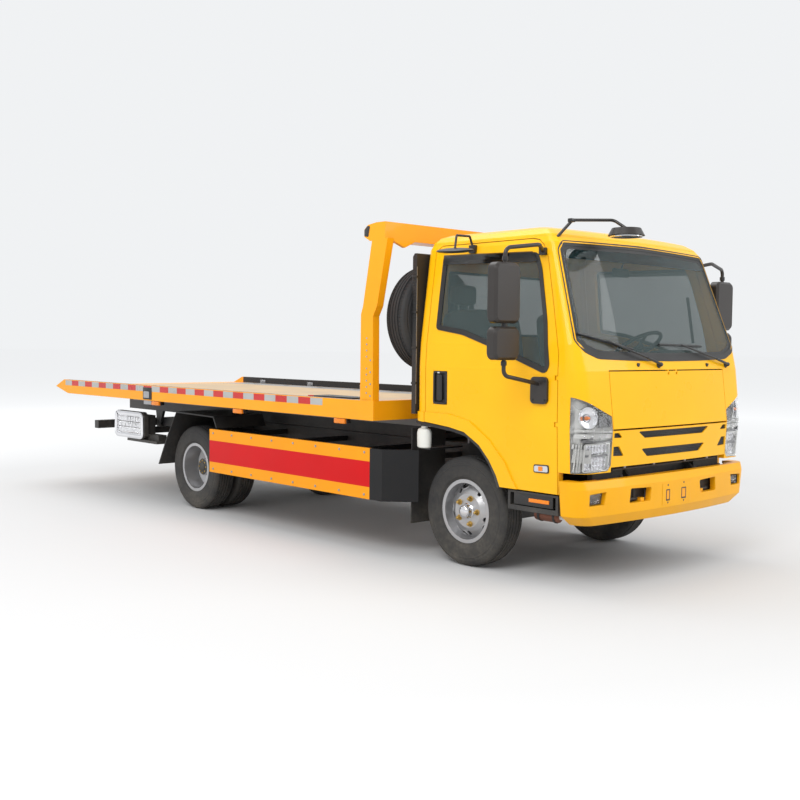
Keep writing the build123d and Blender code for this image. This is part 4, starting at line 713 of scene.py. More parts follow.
for name, side in SIDES:
    out = Vector((0, side, 0))
    front_hub = Vector((AX, side * FRONT_HALF_TRACK / 1000, WHEEL_Z))
    tyre = Piece(f"tread_front_{name}", f"wheel_front_{name}", tyre_rubber)
    tyre.put(tyre_shape(front_hub, out))
    tyre.done(f"tyre_front_{name}", smooth=30)
    fittings = Piece(f"wheel_fittings_front_{name}", f"wheel_front_{name}", wheel_paint, zinc, trim_black, chrome)
    wheel_face(fittings, front_hub, out, 64, 92, 5, (172, 27.5, 0.70))
    cap = [(0, 16), (16, 15), (30, 11), (39, 5), (42, -2), (46, -3), (49, -8), (49, -34), (54, -38), (54, -42)]
    fittings.put(lathe(cap, 40, front_hub + out * 0.102, out), 3)
    fittings.done()

    rear_hub = Vector((REAR_X, side * REAR_HALF_TRACK / 1000, WHEEL_Z))
    tyres = Piece(f"treads_rear_{name}", f"wheels_rear_{name}", tyre_rubber)
    for end in (-1, 1):
        tyres.put(tyre_shape(rear_hub + out * end * DUAL_HALF / 1000, out))
    tyres.done(f"tyres_rear_{name}", smooth=30)
    outer = rear_hub + out * DUAL_HALF / 1000
    fittings = Piece(f"wheel_fittings_rear_{name}", f"wheels_rear_{name}", wheel_paint, zinc, trim_black, cast)
    wheel_face(fittings, outer, out, -107, 99, 6, (172, -78, 0.60))
    hub = [(0, 16), (30, 16), (36, 12), (38, 6), (70, 6), (76, 2), (78, -6)]
    fittings.put(lathe(hub, 36, outer + out * 0.006, out), 3)
    for n in range(8):
        turn = math.tau * n / 8
        spoke = Vector((math.cos(turn), 0, math.sin(turn)))
        fittings.put(lathe([(0, 0), (7, 0), (7, 6), (0, 7)], 6, outer + spoke * 0.056 + out * 0.012, out), 1)
    fittings.done()

SPARE = at(-545, -652, 1722)
spare = Piece("tread_spare", "chassis", tyre_rubber)
spare.put(tyre_shape(SPARE, FORWARD))
spare.done("spare_tyre", smooth=30)
fittings = Piece("wheel_fittings_spare", "chassis", wheel_paint, zinc, trim_black)
wheel_face(fittings, SPARE, BACKWARD, 64, 92, 5, (172, 27.5, 0.70))
fittings.done()

# ---------------------------------------------------------------- headlamps
LAMP_PIN = ((-906, 977), (-856, 976), (-789, 973), (-721, 970))
lamp_grey = surface("lamp_housing", (0.62, 0.62, 0.60), 0.28, metallic=0.6, grain=240, bump=0.04, dust=0.1, tone=0.3)
lamp_dark = surface("lamp_dark", (0.16, 0.16, 0.165), 0.3, metallic=0.4, grain=240, bump=0.04, dust=0.05, tone=0.2)
bulb_amber = surface("bulb_amber", (0.85, 0.24, 0.05), 0.15, coat=0.6, grain=60, bump=0.1, dust=0.0, tone=0.1)
lamp_skin = skin("headlamps")
OUTWARD = 0.06  # how far forward a lamp's outer faces look, at least

housing = copied("headlamps")
lens = copied("headlamps")
for shape, outer in ((housing, True), (lens, False)):
    dropped = [f for f in shape.faces if (f.normal.x > OUTWARD) == outer]
    bmesh.ops.delete(shape, geom=dropped, context="FACES")
bmesh.ops.solidify(lens, geom=lens.faces[:], thickness=0.0015)
cover = Piece("headlamp_lenses", "cab", lens_clear)
cover.put(lens)
cover.done(smooth=30)
shell = Piece("headlamp_housings", "cab", lamp_grey, chrome, lamp_dark, bulb_amber)
shell.put(housing)


def in_lamp(corners, near, far, across=10, up=1):
    """A strip inside a lamp that follows its lens, between two depths."""
    return laid_on(facing_front(strip_of(corners, across, up)), lamp_skin, BACKWARD, far, -near)


def lamp_row(side, y0, y1, z0, z1, z2=None, z3=None):
    """The corners of a row in a lamp. z2 and z3 are its outer end's top and foot, where they differ."""
    z2, z3 = z1 if z2 is None else z2, z0 if z3 is None else z3
    return [(side * y0, z0), (side * y1, z3), (side * y1, z2), (side * y0, z1)]


for name, side in SIDES:
    place, normal = landed(lamp_skin, at(1400, side * 872, 1092), BACKWARD)
    bowl = place - normal * 0.026
    profile = [(60, 4), (68, 4), (70, 1), (66, -3), (58, -6), (46, -10), (30, -14), (14, -16), (0, -16)]
    shell.put(lathe(profile, 40, bowl, normal), 1)
    shell.put(lathe([(0, 14), (7, 12), (10, 5), (10, -12), (14, -15)], 20, bowl, normal), 3)
    shell.put(placed(turned([(22, -13), (24, -8), (27, -13)], 28, ring=True), bowl, normal), 2)
    shell.put(in_lamp(lamp_row(side, 684, 780, 1030, 1100), 18, 30, 6), 2)
    shell.put(in_lamp(lamp_row(side, 676, 946, 994, 1006, 1022, 1010), 3, 16))
    shell.put(in_lamp(lamp_row(side, 676, 946, 960, 986, 992, 966), 7, 18), 0)
    for y, z in LAMP_PIN:
        place, normal = landed(lamp_skin, at(1400, -side * y, z), BACKWARD)
        shell.put(lathe([(0, 5), (4, 4), (7, 0), (8, -3)], 16, place - normal * 0.008, normal), 1)
    shell.put(in_lamp(lamp_row(side, 676, 950, 934, 943, 950, 941), 2, 26), 2)
    square = [(side * y, z) for y, z in ((690, 757), (906, 752), (906, 930), (690, 934))]
    shell.put(laid_on(facing_front(ring_of(square, 9, 14)), lamp_skin, BACKWARD, 30, -4))
    facets = facing_front(strip_of(lamp_row(side, 696, 900, 758, 928), 7, 6))
    for vert in facets.verts:
        place, normal = landed(lamp_skin, vert.co, BACKWARD)
        vert.co = place - normal * 0.030
    bmesh.ops.recalc_face_normals(facets, faces=facets.faces)
    bmesh.ops.inset_individual(facets, faces=facets.faces[:], thickness=0.007, depth=0.006)
    bmesh.ops.inset_individual(facets, faces=facets.faces[:], thickness=0.002, depth=-0.003)
    shell.put(facets, 1)
    shell.put(in_lamp(lamp_row(side, 700, 896, 848, 862), 12, 22), 2)
    for y in (916, 925, 934, 942):
        shell.put(in_lamp(lamp_row(side, y, y + 4, 758, 928), 5, 20, 1, 6))
shell.done("headlamps", smooth=30)

# ---------------------------------------------------------------- grille, lid and what shows behind them
NOSE_LEAN = 0.053  # how far the nose comes forward for each step up
SLOTS = (
    # across and height of each slot's corners, and the height of the bar beside it
    (((-412, 990), (412, 990), (341, 947), (-341, 947)), 912),
    (((-370, 876), (370, 876), (304, 826), (-304, 826)), 800),
    (((614, 989), (659, 989), (659, 961), (576, 959)), 930),
    (((606, 904), (659, 904), (659, 847), (554, 843)), 800),
    (((-659, 989), (-614, 989), (-576, 959), (-659, 961)), 930),
    (((-659, 904), (-606, 904), (-554, 843), (-659, 847)), 800),
)
mesh_black = surface("grille_mesh", (0.020, 0.019, 0.018), 0.4, grain=300, bump=0.05, dust=0.3, tone=0.3)
nose_skin = skin("grille", "cab_front", "front_lid")
mesh = Piece("grille_mesh", "cab", mesh_black)
for corners, beside in SLOTS:
    top_left, top_right, low_right, low_left = corners
    wide = abs(low_right[0] - low_left[0]) > 200
    grid = facing_front(strip_of((low_left, low_right, top_right, top_left), 44 if wide else 6, 4))
    for vert in grid.verts:
        place, _ = landed(nose_skin, Vector((AX + 1.4, vert.co.y, beside / 1000)), BACKWARD)
        vert.co.x = place.x + (vert.co.z - beside / 1000) * NOSE_LEAN - 0.012
    bmesh.ops.recalc_face_normals(grid, faces=grid.faces)
    cells = grid.faces[:]
    bmesh.ops.inset_individual(grid, faces=cells, thickness=0.0022, depth=0.0)
    bmesh.ops.inset_individual(grid, faces=cells, thickness=0.0006, depth=-0.006)
    mesh.put(grid)
mesh.done()

behind = Piece("radiator", "cab", black_plastic, steel)
behind.put(block((1026, -640, 748), (1040, 640, 990), 4))
for n in range(26):
    y = -600 + n * 48
    behind.put(block((1038, y, 752), (1046, y + 8, 985), 1, 1))
for z in (752, 774):
    behind.put(bar(at(1052, -610, z), at(1052, 610, z), 7), 0)
for y in (-505, -180, 190, 470):
    behind.put(block((1040, y, 750), (1062, y + 34, 782), 3))
    behind.put(lathe([(0, 0), (9, 0), (9, 6), (5, 8), (0, 8)], 6, at(1062, y + 17, 766), FORWARD), 1)
behind.done()

# ---------------------------------------------------------------- bumper fittings
FOG = ((738, 625), (882, 617), (882, 552), (753, 552))
FOG_MIDDLE = (812, 587)
PAD_FACE = 1140.0
PAD_SLOTS = ((-126, -80), (55, 112))
PAD_HOLES = ((-103, 624), (-103, 508), (84, 628), (84, 508))


def shrunk(outline, middle, share):
    """An outline drawn in towards its middle."""
    return [(middle[0] + (y - middle[0]) * share, middle[1] + (z - middle[1]) * share) for y, z in outline]


trim = Piece("bumper_fittings", "chassis", black_plastic, chrome, lens_clear, lamp_grey, deck_orange)
for name, side in SIDES:
    fog = [(side * y, z) for y, z in FOG]
    middle = (side * FOG_MIDDLE[0], FOG_MIDDLE[1])
    trim.put(front_plate(fog, 1065, 1069, 1.0, 8))
    trim.put(front_ring(fog, 7, 1067, 1078, 8))
    trim.put(front_plate(shrunk(fog, middle, 0.86), 1067, 1071, 1.0, 8), 3)
    low_left, low_right, top_right, top_left = [shrunk(fog, middle, 0.78)[k] for k in (3, 2, 1, 0)]
    reflector = strip_of((low_left, low_right, top_right, top_left), 7, 3)
    reflector.transform(Matrix.Translation((AX + 1.072, 0, 0)) @ FRONT_ON)
    bmesh.ops.recalc_face_normals(reflector, faces=reflector.faces)
    if next(iter(reflector.faces)).normal.x < 0:
        bmesh.ops.reverse_faces(reflector, faces=reflector.faces)
    bmesh.ops.inset_individual(reflector, faces=reflector.faces[:], thickness=0.003, depth=0.003)
    trim.put(reflector, 3)
    trim.put(lathe([(24, 6), (22, 2), (14, -1), (0, -2)], 28, at(1073, middle[0], middle[1]), FORWARD), 1)
    trim.put(front_plate(shrunk(fog, middle, 0.84), 1079, 1082, 1.0, 8), 2)
    trim.put(block((1058, side * 262, 520), (1063, side * 545, 655), 1))
    trim.put(bar(at(1075, side * 330, 552), at(1075, side * 470, 552), 11))
    trim.put(bar(at(1066, side * 390, 540), at(1066, side * 390, 620), 9))
for low, high in PAD_SLOTS:
    hole = [(low, 520), (high, 520), (high, 596), (low, 596)]
    trim.put(front_plate(hole, PAD_FACE - 2, PAD_FACE + 0.1, 0, 5))
    middle = [(low + 9, 530), (high - 9, 530), (high - 9, 588), (low + 9, 588)]
    trim.put(front_plate(middle, PAD_FACE - 1, PAD_FACE + 0.15, 0, 3), 4)
for y, z in PAD_HOLES:
    trim.put(lathe([(0, 0), (7, 0), (7, 1), (0, 1)], 18, at(PAD_FACE - 0.85, y, z), FORWARD))
trim.done()

# ---------------------------------------------------------------- windscreen, wipers and cab glass trim
SCREEN_LINE = (
    (-905, 1562), (-855, 1506), (-735, 1464), (-400, 1454), (0, 1450), (400, 1454), (735, 1464), (855, 1506),
    (905, 1562), (832, 2140), (790, 2186), (0, 2200), (-790, 2186), (-832, 2140),
)
SCREEN_MIDDLE = 1825.0
cab_skin = skin("cab_front", "cab_glass", "cab_roof", "door_left", "door_right", "front_lid")
glass_skin = skin("cab_glass")
rubber = surface("window_rubber", (0.010, 0.010, 0.010), 0.5, grain=500, bump=0.06, dust=0.15, tone=0.2)
shade_tint = clear("shade_band", (0.02, 0.10, 0.11), alpha=0.75)
seals = Piece("windscreen_trim", "cab", rubber, shade_tint, trim_black)
around = [(y * 1.016, SCREEN_MIDDLE + (z - SCREEN_MIDDLE) * 1.036) for y, z in SCREEN_LINE]
seals.put(laid_on(facing_front(ring_of(around, 34, 26)), cab_skin, BACKWARD, 4, 3.0))
frit = [(y * 0.985, SCREEN_MIDDLE + (z - SCREEN_MIDDLE) * 0.97) for y, z in SCREEN_LINE]
seals.put(laid_on(facing_front(ring_of(frit, 30, 30)), glass_skin, BACKWARD, 1, 0.5))
shade = [(-815, 2085), (815, 2085), (792, 2172), (-792, 2172)]
seals.put(laid_on(facing_front(strip_of(shade, 24, 3)), glass_skin, BACKWARD, 0.6, 0.3), 1)
back_outline = [(-702, 1590), (702, 1590), (702, 2070), (-702, 2070)]
back_ring = ring_of(back_outline, 26, 38)
back_ring.transform(Matrix.Translation((AX - 1.4, 0, 0)) @ FRONT_ON)
seals.put(laid_on(back_ring, skin("cab_back", "cab_glass"), FORWARD, 4, 3.0))
seals.done()

WIPERS = (
    # blade's ends and the arm's pivot, across and height
    ((-889, 1605), (-397, 1510), (-149, 1411)), ((-99, 1544), (421, 1534), (725, 1408)),
)
wipers = Piece("wipers", "cab", trim_black, rubber)


def on_screen(y, z, lift):
    place, normal = landed(cab_skin, at(1400, y, z), BACKWARD)
    return place + normal * lift / 1000


for start, end, pivot in WIPERS:
    points = [(start[0] + (end[0] - start[0]) * k / 6, start[1] + (end[1] - start[1]) * k / 6) for k in range(7)]
    for first, second in zip(points, points[1:]):
        wipers.put(bar(on_screen(*first, 5), on_screen(*second, 5), 5, 8), 1)
        wipers.put(bar(on_screen(*first, 14), on_screen(*second, 14), 6.5, 8))
    middle = on_screen((start[0] + end[0]) / 2, (start[1] + end[1]) / 2, 24)
    root = on_screen(*pivot, 24)
    elbow = root.lerp(middle, 0.3) + Vector((0.012, 0, 0))
    wipers.put(bar(root, elbow, 9))
    wipers.put(bar(elbow, middle, 6.5))
    wipers.put(bar(middle, on_screen((start[0] + end[0]) / 2, (start[1] + end[1]) / 2, 10), 8))
    foot, normal = landed(cab_skin, at(1400, *pivot), BACKWARD)
    wipers.put(lathe([(20, -4), (20, 4), (15, 9), (14, 26), (10, 32), (0, 33)], 24, foot, normal))
for y, z in ((-370, 1414), (453, 1410)):
    foot, normal = landed(cab_skin, at(1400, y, z), BACKWARD)
    wipers.put(lathe([(13, -3), (13, 4), (9, 9), (0, 10)], 20, foot, normal))
    wipers.put(lathe([(0, 8), (4, 8), (4, 13), (0, 14)], 12, foot + Vector((0, 0.004, 0.004)), normal))
wipers.done()

# ---------------------------------------------------------------- doors
DOOR_WINDOW = ((-195, 1640), (52, 1605), (281, 1537), (531, 1450), (772, 1368), (806, 1408), (762, 1692),
               (680, 2012), (634, 2114), (-195, 2130))
WINDOW_MIDDLE = (300, 1760)
MIRROR_Y = 1251.0
HEADS = ((1665, 2035), (1440, 1645))
visor_smoke = clear("visor_smoke", (0.03, 0.03, 0.03), alpha=0.8)
for name, side in SIDES:
    door_skin = skin(f"door_{name}", f"door_glass_{name}")
    inward = Vector((0, -side, 0))
    fittings = Piece(f"door_fittings_{name}", f"door_{name}", rubber, trim_black, black_plastic, mirror_glass,
                     visor_smoke, lens_amber, chrome)
    around = [(x + (x - WINDOW_MIDDLE[0]) * 0.026, z + (z - WINDOW_MIDDLE[1]) * 0.034) for x, z in DOOR_WINDOW]
    band = ring_of(around, 34, 30)
    fittings.put(laid_on(facing_side(band, side), door_skin, inward, 3, 6.0))
    visor = strip_of([(-198, 2084), (652, 2066), (600, 2132), (-198, 2150)], 14, 2)
    fittings.put(laid_on(facing_side(visor, side), door_skin, inward, -9, 13), 4)
    well = [(-211, 1121), (-77, 1121), (-77, 1349), (-211, 1349)]
    fittings.put(side_plate(well, side * 934, side * 944, 1, 18), 2)
    fittings.put(side_ring(well, 14, side * 940, side * 959, 20), 1)
    grip = [(-172, 1146), (-118, 1146), (-122, 1326), (-168, 1326)]
    fittings.put(side_plate(grip, side * 948, side * 964, 4, 16), 1)
    keyhole = [(-168, 1334), (-146, 1334), (-146, 1344), (-168, 1344)]
    fittings.put(side_plate(keyhole, side * 944, side * 961, 1, 3), 6)
    lamp = [(697, 728), (822, 731), (820, 784), (699, 780)]
    fittings.put(laid_on(facing_side(outline_face(lamp, 12), side), door_skin, inward, 3, 5), 2)
    lamp = [(704, 735), (815, 738), (813, 777), (706, 773)]
    fittings.put(laid_on(facing_side(outline_face(lamp, 10), side), door_skin, inward, -4, 7), 6)
    lamp = [(740, 741), (772, 742), (772, 772), (740, 771)]
    fittings.put(laid_on(facing_side(outline_face(lamp, 6), side), door_skin, inward, -6, 10), 5)
    for low, top in HEADS:
        pane = [(side * y, z) for y, z in ((MIRROR_Y - 104, low + 14), (MIRROR_Y + 104, low + 14),
                                           (MIRROR_Y + 104, top - 14), (MIRROR_Y - 104, top - 14))]
        fittings.put(front_plate(pane, 661.5, 665.5, 0.8, 40), 3)
        frame_line = [(side * (MIRROR_Y + (abs(y) - MIRROR_Y) * 1.08), z) for y, z in pane]
        fittings.put(front_ring(frame_line, 10, 660, 668, 44), 1)
    for z in (1652, 2060, 1420):
        fittings.put(bar(at(700, side * MIRROR_Y, z - 14), at(700, side * MIRROR_Y, z + 14), 19), 1)
    for x, z in ((700, 1190), (795, 1190), (700, 1312), (795, 1312)):
        fittings.put(lathe([(0, 0), (7, 0), (7, 4), (0, 5)], 6, at(x, side * 975, z), -inward), 1)
    if side < 0:
        # the kerb mirror over the passenger's door
        disc, foot = at(85, -1062, 2150), at(70, -868, 2178)
        dish = [(0, -12), (70, -10), (104, -5), (122, 3), (124, 8), (112, 14), (60, 22), (0, 24)]
        fittings.put(lathe(dish, 40, disc, Vector((0.05, -0.12, 1))), 1)
        loop = (foot, at(70, -905, 2262), at(78, -1040, 2258), disc + Vector((0, 0, 0.02)))
        for first, second in zip(loop, loop[1:]):
            fittings.put(bar(first, second, 8), 1)
        fittings.put(block((45, -890, 2150), (100, -860, 2205), 4), 1)
    fittings.done()

# ---------------------------------------------------------------- mirror over the windscreen
glass = Piece("front_mirror_glass", "cab", mirror_glass, trim_black)
dish = [(0, 0), (60, 2), (100, 8), (104, 9), (104, 4), (0, -4)]
glass.put(lathe(dish, 40, at(990, -420, 2241), Vector((0, 0, -1))))
glass.put(block((700, -842, 2168), (742, -800, 2206), 5), 1)
glass.put(block((772, -748, 2316), (806, -706, 2340), 5), 1)
glass.done()

# ---------------------------------------------------------------- wheel arches
ARCH_LINE = ((-401, 997), (-46, 969), (96, 944), (233, 866), (321, 773), (382, 679), (414, 604))
ARCH_CENTRE = (0, 382)


def towards(point, centre, by):
    """A point moved towards another by a distance."""
    way = Vector(centre) - Vector(point)
    return tuple(Vector(point) + way.normalized() * by)


liner = Piece("arch_liners", "cab", black_plastic)
for name, side in SIDES:
    outer = [towards(p, ARCH_CENTRE, 3) for p in ARCH_LINE]
    inner = [towards(p, ARCH_CENTRE, 30) for p in ARCH_LINE]
    liner.put(side_plate(outer + inner[::-1], side * 862, side * 946, 2, 0))
liner.done(smooth=50)

# ---------------------------------------------------------------- behind the cab and under it
stow = Piece("intake_ribs", "chassis", black_plastic, steel)
for n in range(20):
    z = 1700 + 19 * n
    stow.put(block((-429, -958, z), (-400, -952, z + 8), 1.5))
stow.put(bar(at(-396, -950, 1110), at(-396, -950, 2080), 5), 1)
for z in (1250, 1500, 1750, 2000):
    stow.put(block((-436, -960, z), (-390, -948, z + 16), 2))
stow.done()

fluid = Piece("washer_bottle", "chassis", bottle_white, trim_black)
bottle = [(0, 0), (44, 0), (52, 8), (54, 60), (54, 110), (46, 132), (24, 142), (22, 158), (0, 158)]
fluid.put(lathe(bottle, 28, at(-352, -900, 800), UPWARD, 0, (1.1, 0.8, 1)))
fluid.put(lathe([(0, 0), (27, 0), (27, 16), (22, 20), (0, 20)], 20, at(-352, -900, 955), UPWARD), 1)
fluid.put(block((-400, -890, 786), (-300, -560, 800), 2), 1)
fluid.done()

copper = surface("copper_brown", (0.20, 0.07, 0.04), 0.4, metallic=0.5, grain=200, bump=0.1, dust=0.4, tone=0.2)
tank = Piece("step_reservoir", "chassis", copper, bottle_white, trim_black, lens_amber)
for name, side in SIDES:
    drum = [(0, 0), (26, 0), (38, 8), (40, 20), (40, 180), (38, 192), (26, 200), (0, 200)]
    tank.put(lathe(drum, 28, at(540, side * 720, 422), FORWARD))
    tank.put(lathe([(0, 0), (16, 0), (16, 14), (10, 18), (0, 18)], 16, at(740, side * 720, 422), FORWARD), 1)
    for x in (575, 700):
        tank.put(block((x, side * 715, 378), (x + 18, side * 725, 470), 1), 2)
        strap = turned([(41, -9), (43, -9), (43, 9), (41, 9)], 28, ring=True)
        tank.put(placed(strap, at(x + 9, side * 720, 422), FORWARD), 2)
    tank.put(side_plate([(520, 506), (842, 506), (842, 588), (520, 588)], side * 905, side * 929, 2, 4), 2)
    tank.put(block((650, side * 929, 532), (815, side * 936, 556), 2), 3)
    for n in range(6):
        tank.put(block((500 + n * 60, side * 640, 593), (530 + n * 60, side * 900, 597), 1.5), 2)
tank.done()

# ---------------------------------------------------------------- side skirts, markers and the rear lamps
BOLT_START, BOLT_PITCH, BOLT_COUNT = -2810, 288, 8
BOLT_ROWS = (432, 742)
SKIRT_FACE = 1080
bolts = Piece("skirt_bolts", "chassis", steel)
for name, side in SIDES:
    for n in range(BOLT_COUNT):
        for z in BOLT_ROWS:
            seat = at(BOLT_START + n * BOLT_PITCH, side * SKIRT_FACE, z)
            bolts.put(lathe([(10, 0), (10, 2), (7, 3), (7, 6), (0, 7)], 10, seat, Vector((0, side, 0))))
bolts.done()

def tape(x0, x1, edge, side):
    """A block of reflective tape on a rail."""
    return block((x0, edge, TAPE_LOW), (x1, edge + side * TAPE_THICK, TAPE_TOP), 0.3, 1)


markers = Piece("side_markers", "bed", lens_amber, trim_black, tape_red, tape_grey, steel, black_plastic)
MARKER_PLACES = ((-3760, -3630), (-2410, -2280), (-1070, -945))
TAPE_START, TAPE_PITCH, TAPE_COUNT = -5400, 300, 14
TAPE_LOW, TAPE_TOP = 1067, 1119
TAPE_BLOCK, TAPE_THICK = 150, 0.8
RAIL_FACE = 1150
for name, side in SIDES:
    edge = side * RAIL_FACE
    for x0, x1 in MARKER_PLACES:
        markers.put(block((x0 - 6, edge - side * 62, 946), (x1 + 6, edge - side * 20, 984), 3), 1)
        markers.put(block((x0, edge - side * 30, 942), (x1, edge - side * 2, 980), 6, 3), 0)
    markers.put(block((-3910, edge - side * 60, 944), (-3772, edge - side * 6, 984), 4), 4)
    for n in range(TAPE_COUNT):
        x = TAPE_START + n * TAPE_PITCH
        markers.put(tape(x, x + TAPE_BLOCK, edge, side), 2)
        markers.put(tape(x + TAPE_BLOCK + 1, x + TAPE_PITCH - 1, edge, side), 3)
    markers.put(tape(TAPE_START - TAPE_BLOCK, TAPE_START - 1, edge, side), 3)
    latch = [(-3906, 992), (-3746, 992), (-3746, 1104), (-3906, 1104)]
    markers.put(side_plate(latch, edge, edge + side * 4, 1, 8), 5)
    catch = [(-3890, 1006), (-3790, 1006), (-3790, 1066), (-3890, 1066)]
    markers.put(side_plate(catch, edge, edge + side * 7, 2, 8), 4)
    for x in (-5150, -4250, -3350, -2450, -1550, -800):
        markers.put(block((x - 50, edge - side * 56, 1062), (x + 50, edge - side * 50, 1100), 2), 4)
        hoop = turned([(26, -4), (32, 0), (26, 4), (20, 0)], 24, ring=True)
        markers.put(placed(hoop, at(x, edge - side * 66, 1074), Vector((0, side, 0.6))), 4)
markers.done()

LAMP_BEZEL = (
    (-4660, 620), (-4650, 820), (-4615, 850), (-4130, 850), (-4085, 820), (-4080, 620), (-4120, 588), (-4610, 588),
)
LAMP_CENTRE = (-4370, 718)
tail = Piece("rear_lamp_fittings", "chassis", chrome, lamp_dark, lens_clear, lens_red, lens_amber, black_plastic)
for name, side in SIDES:
    face = side * 1040
    frame_line = shrunk(LAMP_BEZEL, LAMP_CENTRE, 0.985)
    tail.put(side_ring(frame_line, 44, face - side * 2, face + side * 14, 26))
    inner = shrunk(LAMP_BEZEL, LAMP_CENTRE, 0.86)
    tail.put(side_plate(inner, face - side * 1, face + side * 2, 0, 20), 0)
    cells = strip_of([(-4590, 640), (-4160, 640), (-4160, 800), (-4590, 800)], 6, 3)
    cells.transform(Matrix.Translation((AX, face / 1000 + side * 0.003, 0)) @ SIDE_ON)
    bmesh.ops.recalc_face_normals(cells, faces=cells.faces)
    if cells.faces[:][0].normal.y * side < 0:
        bmesh.ops.reverse_faces(cells, faces=cells.faces)
    bmesh.ops.inset_individual(cells, faces=cells.faces[:], thickness=0.008, depth=0.004)
    tail.put(cells, 0)
    tail.put(block((-4580, face, 690), (-4170, face + side * 6, 752), 2), 5)
    for x in (-4400, -4350, -4300, -4250, -4200):
        tail.put(block((x, face, 724), (x + 10, face + side * 8, 806), 1), 1)
    tail.put(side_plate(inner, face + side * 11, face + side * 13, 1, 20), 2)
    for low, high, tint in ((632, 690, 3), (694, 748, 4), (752, 806, 3)):
        tail.put(block((-4634, side * 915, low), (-4618, side * 990, high), 4, 3), tint)
tail.done()

# ---------------------------------------------------------------- headboard and deck fittings
board = Piece("headboard_fittings", "bed", steel, black_plastic, deck_orange, tape_red)
for name, side in SIDES:
    edge = side * RAIL_FACE
    for n in range(9):
        seat = at(-697, edge, 1180 + n * 44 + (40 if n > 4 else 0))
        board.put(lathe([(7, 0), (7, 2), (0, 3)], 10, seat, Vector((0, side, 0))))
    for z in (1160, 1245, 1330, 1415):
        board.put(lathe([(8, 0), (8, 3), (0, 4)], 8, at(-655, edge, z), Vector((0, side, 0))))
    cap = [(-733, 2298), (-733, 2343), (-700, 2370), (-672, 2366), (-690, 2290)]
    board.put(side_plate(cap, edge - side * 1, edge + side * 1.5, 0.5, 8), 1)
    board.put(block((-745, edge, 1126), (-645, edge - side * 62, 1140), 2), 2)
board.put(block((-2400, -300, 1060), (-1850, -120, 1073), 3), 2)
board.put(block((-1835, -262, 1060), (-1760, -180, 1066), 2), 1)
board.put(block((-2500, -285, 1060), (-2440, -255, 1070), 2), 3)
for x in (-5100, -4500, -3900, -3300, -2700, -2100, -1500):
    for y in (-960, 960):
        slot_line = outline_face([(x - 45, y - 14), (x + 45, y - 14), (x + 45, y + 14), (x - 45, y + 14)], 12)
        slot_line.transform(Matrix.Translation((AX, 0, 1.0596)))
        board.put(thickened(slot_line, 1.0, 0), 1)
board.done()

# ---------------------------------------------------------------- inside the cab
def pad(low, high, crown):
    """A stuffed cushion: its faces swell towards their middles, and its edges are drawn in round."""
    shape = bmesh.new()
    bmesh.ops.create_cube(shape, size=2.0)
    bmesh.ops.subdivide_edges(shape, edges=shape.edges[:], cuts=7, use_grid_fill=True)
    low, high = at(*low), at(*high)
    half, middle = (high - low) / 2, (high + low) / 2
    for vert in shape.verts:
        p = vert.co
        swell = [1.0, 1.0, 1.0]
        for axis in range(3):
            a, b = [p[k] for k in range(3) if k != axis]
            if abs(p[axis]) > 0.999:
                swell[axis] = 1 - crown * (1 - (1 - a * a) * (1 - b * b))
        shared = sum(abs(c) > 0.999 for c in p)
        draw = 1 - 0.05 * max(shared - 1, 0)
        vert.co = Vector([middle[k] + abs(half[k]) * p[k] * swell[k] * draw for k in range(3)])
    return shape


def seat_piece(name, shape, lean=0.0, about=None):
    """A cushion on the cab that stands for the seats' plain solids, leaned about a place if need be."""
    if lean:
        turn = Matrix.Translation(about) @ Matrix.Rotation(lean, 4, "Y") @ Matrix.Translation(-about)
        shape.transform(turn)
    piece = Piece(name, "cab", fabric)
    piece.put(shape)
    made = piece.done(smooth=60)
    rounder = made.modifiers.new("rounder", "SUBSURF")
    rounder.levels = rounder.render_levels = 1
    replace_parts(made, "seats")
    return made


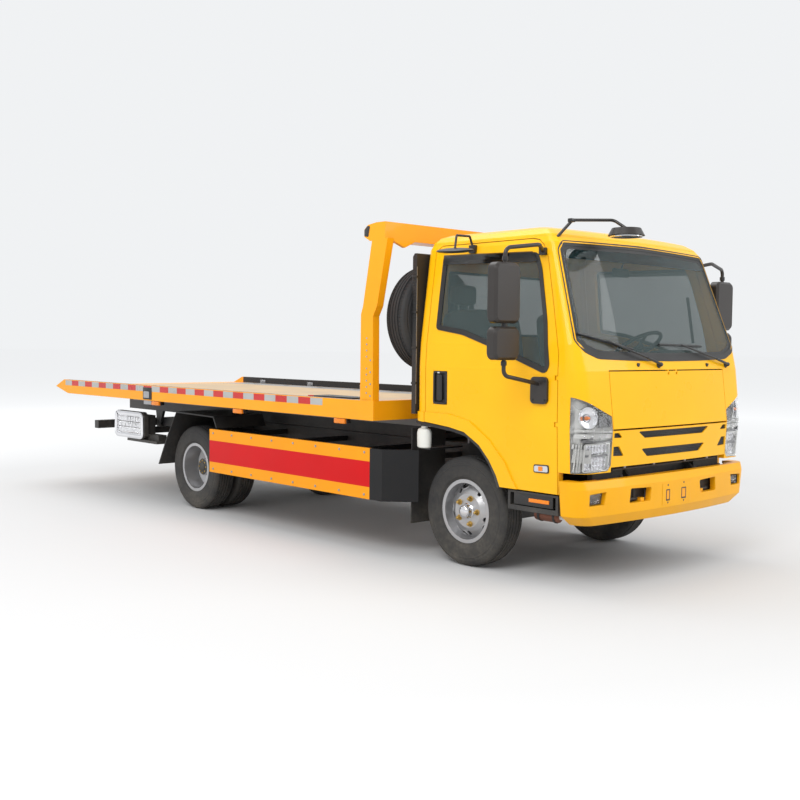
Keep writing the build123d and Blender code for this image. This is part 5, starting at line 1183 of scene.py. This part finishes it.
BACK_LEAN = -0.16
for label, middle, half in (("driver", 470, 240), ("passenger", -400, 410)):
    cushion = pad((-200, middle - half, 1172), (262, middle + half, 1300), 0.10)
    seat_piece(f"seat_cushion_{label}", cushion)
    back = pad((-262, middle - half + 8, 1288), (-150, middle + half - 8, 1800), 0.12)
    seat_piece(f"seat_back_{label}", back, BACK_LEAN, at(-205, middle, 1290))
for label, middle in (("driver", 470), ("passenger", -600), ("middle", -200)):
    rest = pad((-316, middle - 118, 1812), (-236, middle + 118, 1962), 0.16)
    seat_piece(f"head_rest_{label}", rest)
base = Piece("seat_bases", "cab", black_plastic, steel)
for y0, y1 in ((455, 655), (-655, -455)):
    base.put(block((-200, y0, 1041), (200, y1, 1172), 6))
for middle in (470, -600, -200):
    for offset in (-50, 50):
        base.put(bar(at(-272, middle + offset, 1760), at(-276, middle + offset, 1830), 7), 1)
base.put(block((-240, -810, 1150), (250, 12, 1176), 8))
base.put(block((-200, 232, 1150), (250, 708, 1176), 8))
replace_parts(base.done(), "seats")

facia = Piece("facia_fittings", "cab", black_plastic, trim_black, chrome, lens_clear, grey_plastic)
hood = [(655, 1425), (700, 1500), (820, 1512), (880, 1440)]
facia.put(side_plate(hood, 290, 650, 6, 16))
facia.put(side_plate([(650, 1432), (654, 1430), (698, 1498), (694, 1500)], 310, 630, 1), 3)
for y in (-700, -430, 60, 160, 720):
    facia.put(block((617, y - 52, 1352), (628, y + 52, 1402), 4), 1)
    for n in range(4):
        facia.put(block((612, y - 46, 1358 + n * 11), (620, y + 46, 1362 + n * 11), 0.8), 4)
facia.put(block((600, -60, 1230), (640, 200, 1340), 6), 1)
facia.put(bar(at(430, 60, 1160), at(500, 60, 1400), 9), 2)
knob = [(0, -20), (18, -14), (24, 4), (18, 20), (0, 26)]
facia.put(lathe(knob, 24, at(503, 60, 1412), Vector((0.28, 0, 1))), 1)
for side in (-1, 1):
    facia.put(block((560, side * 400 - 190, 2150), (720, side * 400 + 190, 2166), 6), 4)
    facia.put(bar(at(740, side * 800, 1560), at(700, side * 772, 1900), 11), 1)
facia.put(block((640, -90, 2010), (662, 90, 2070), 8, 3), 1)
facia.put(bar(at(655, 0, 2060), at(690, 0, 2140), 6), 1)
facia.done()

low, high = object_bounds()
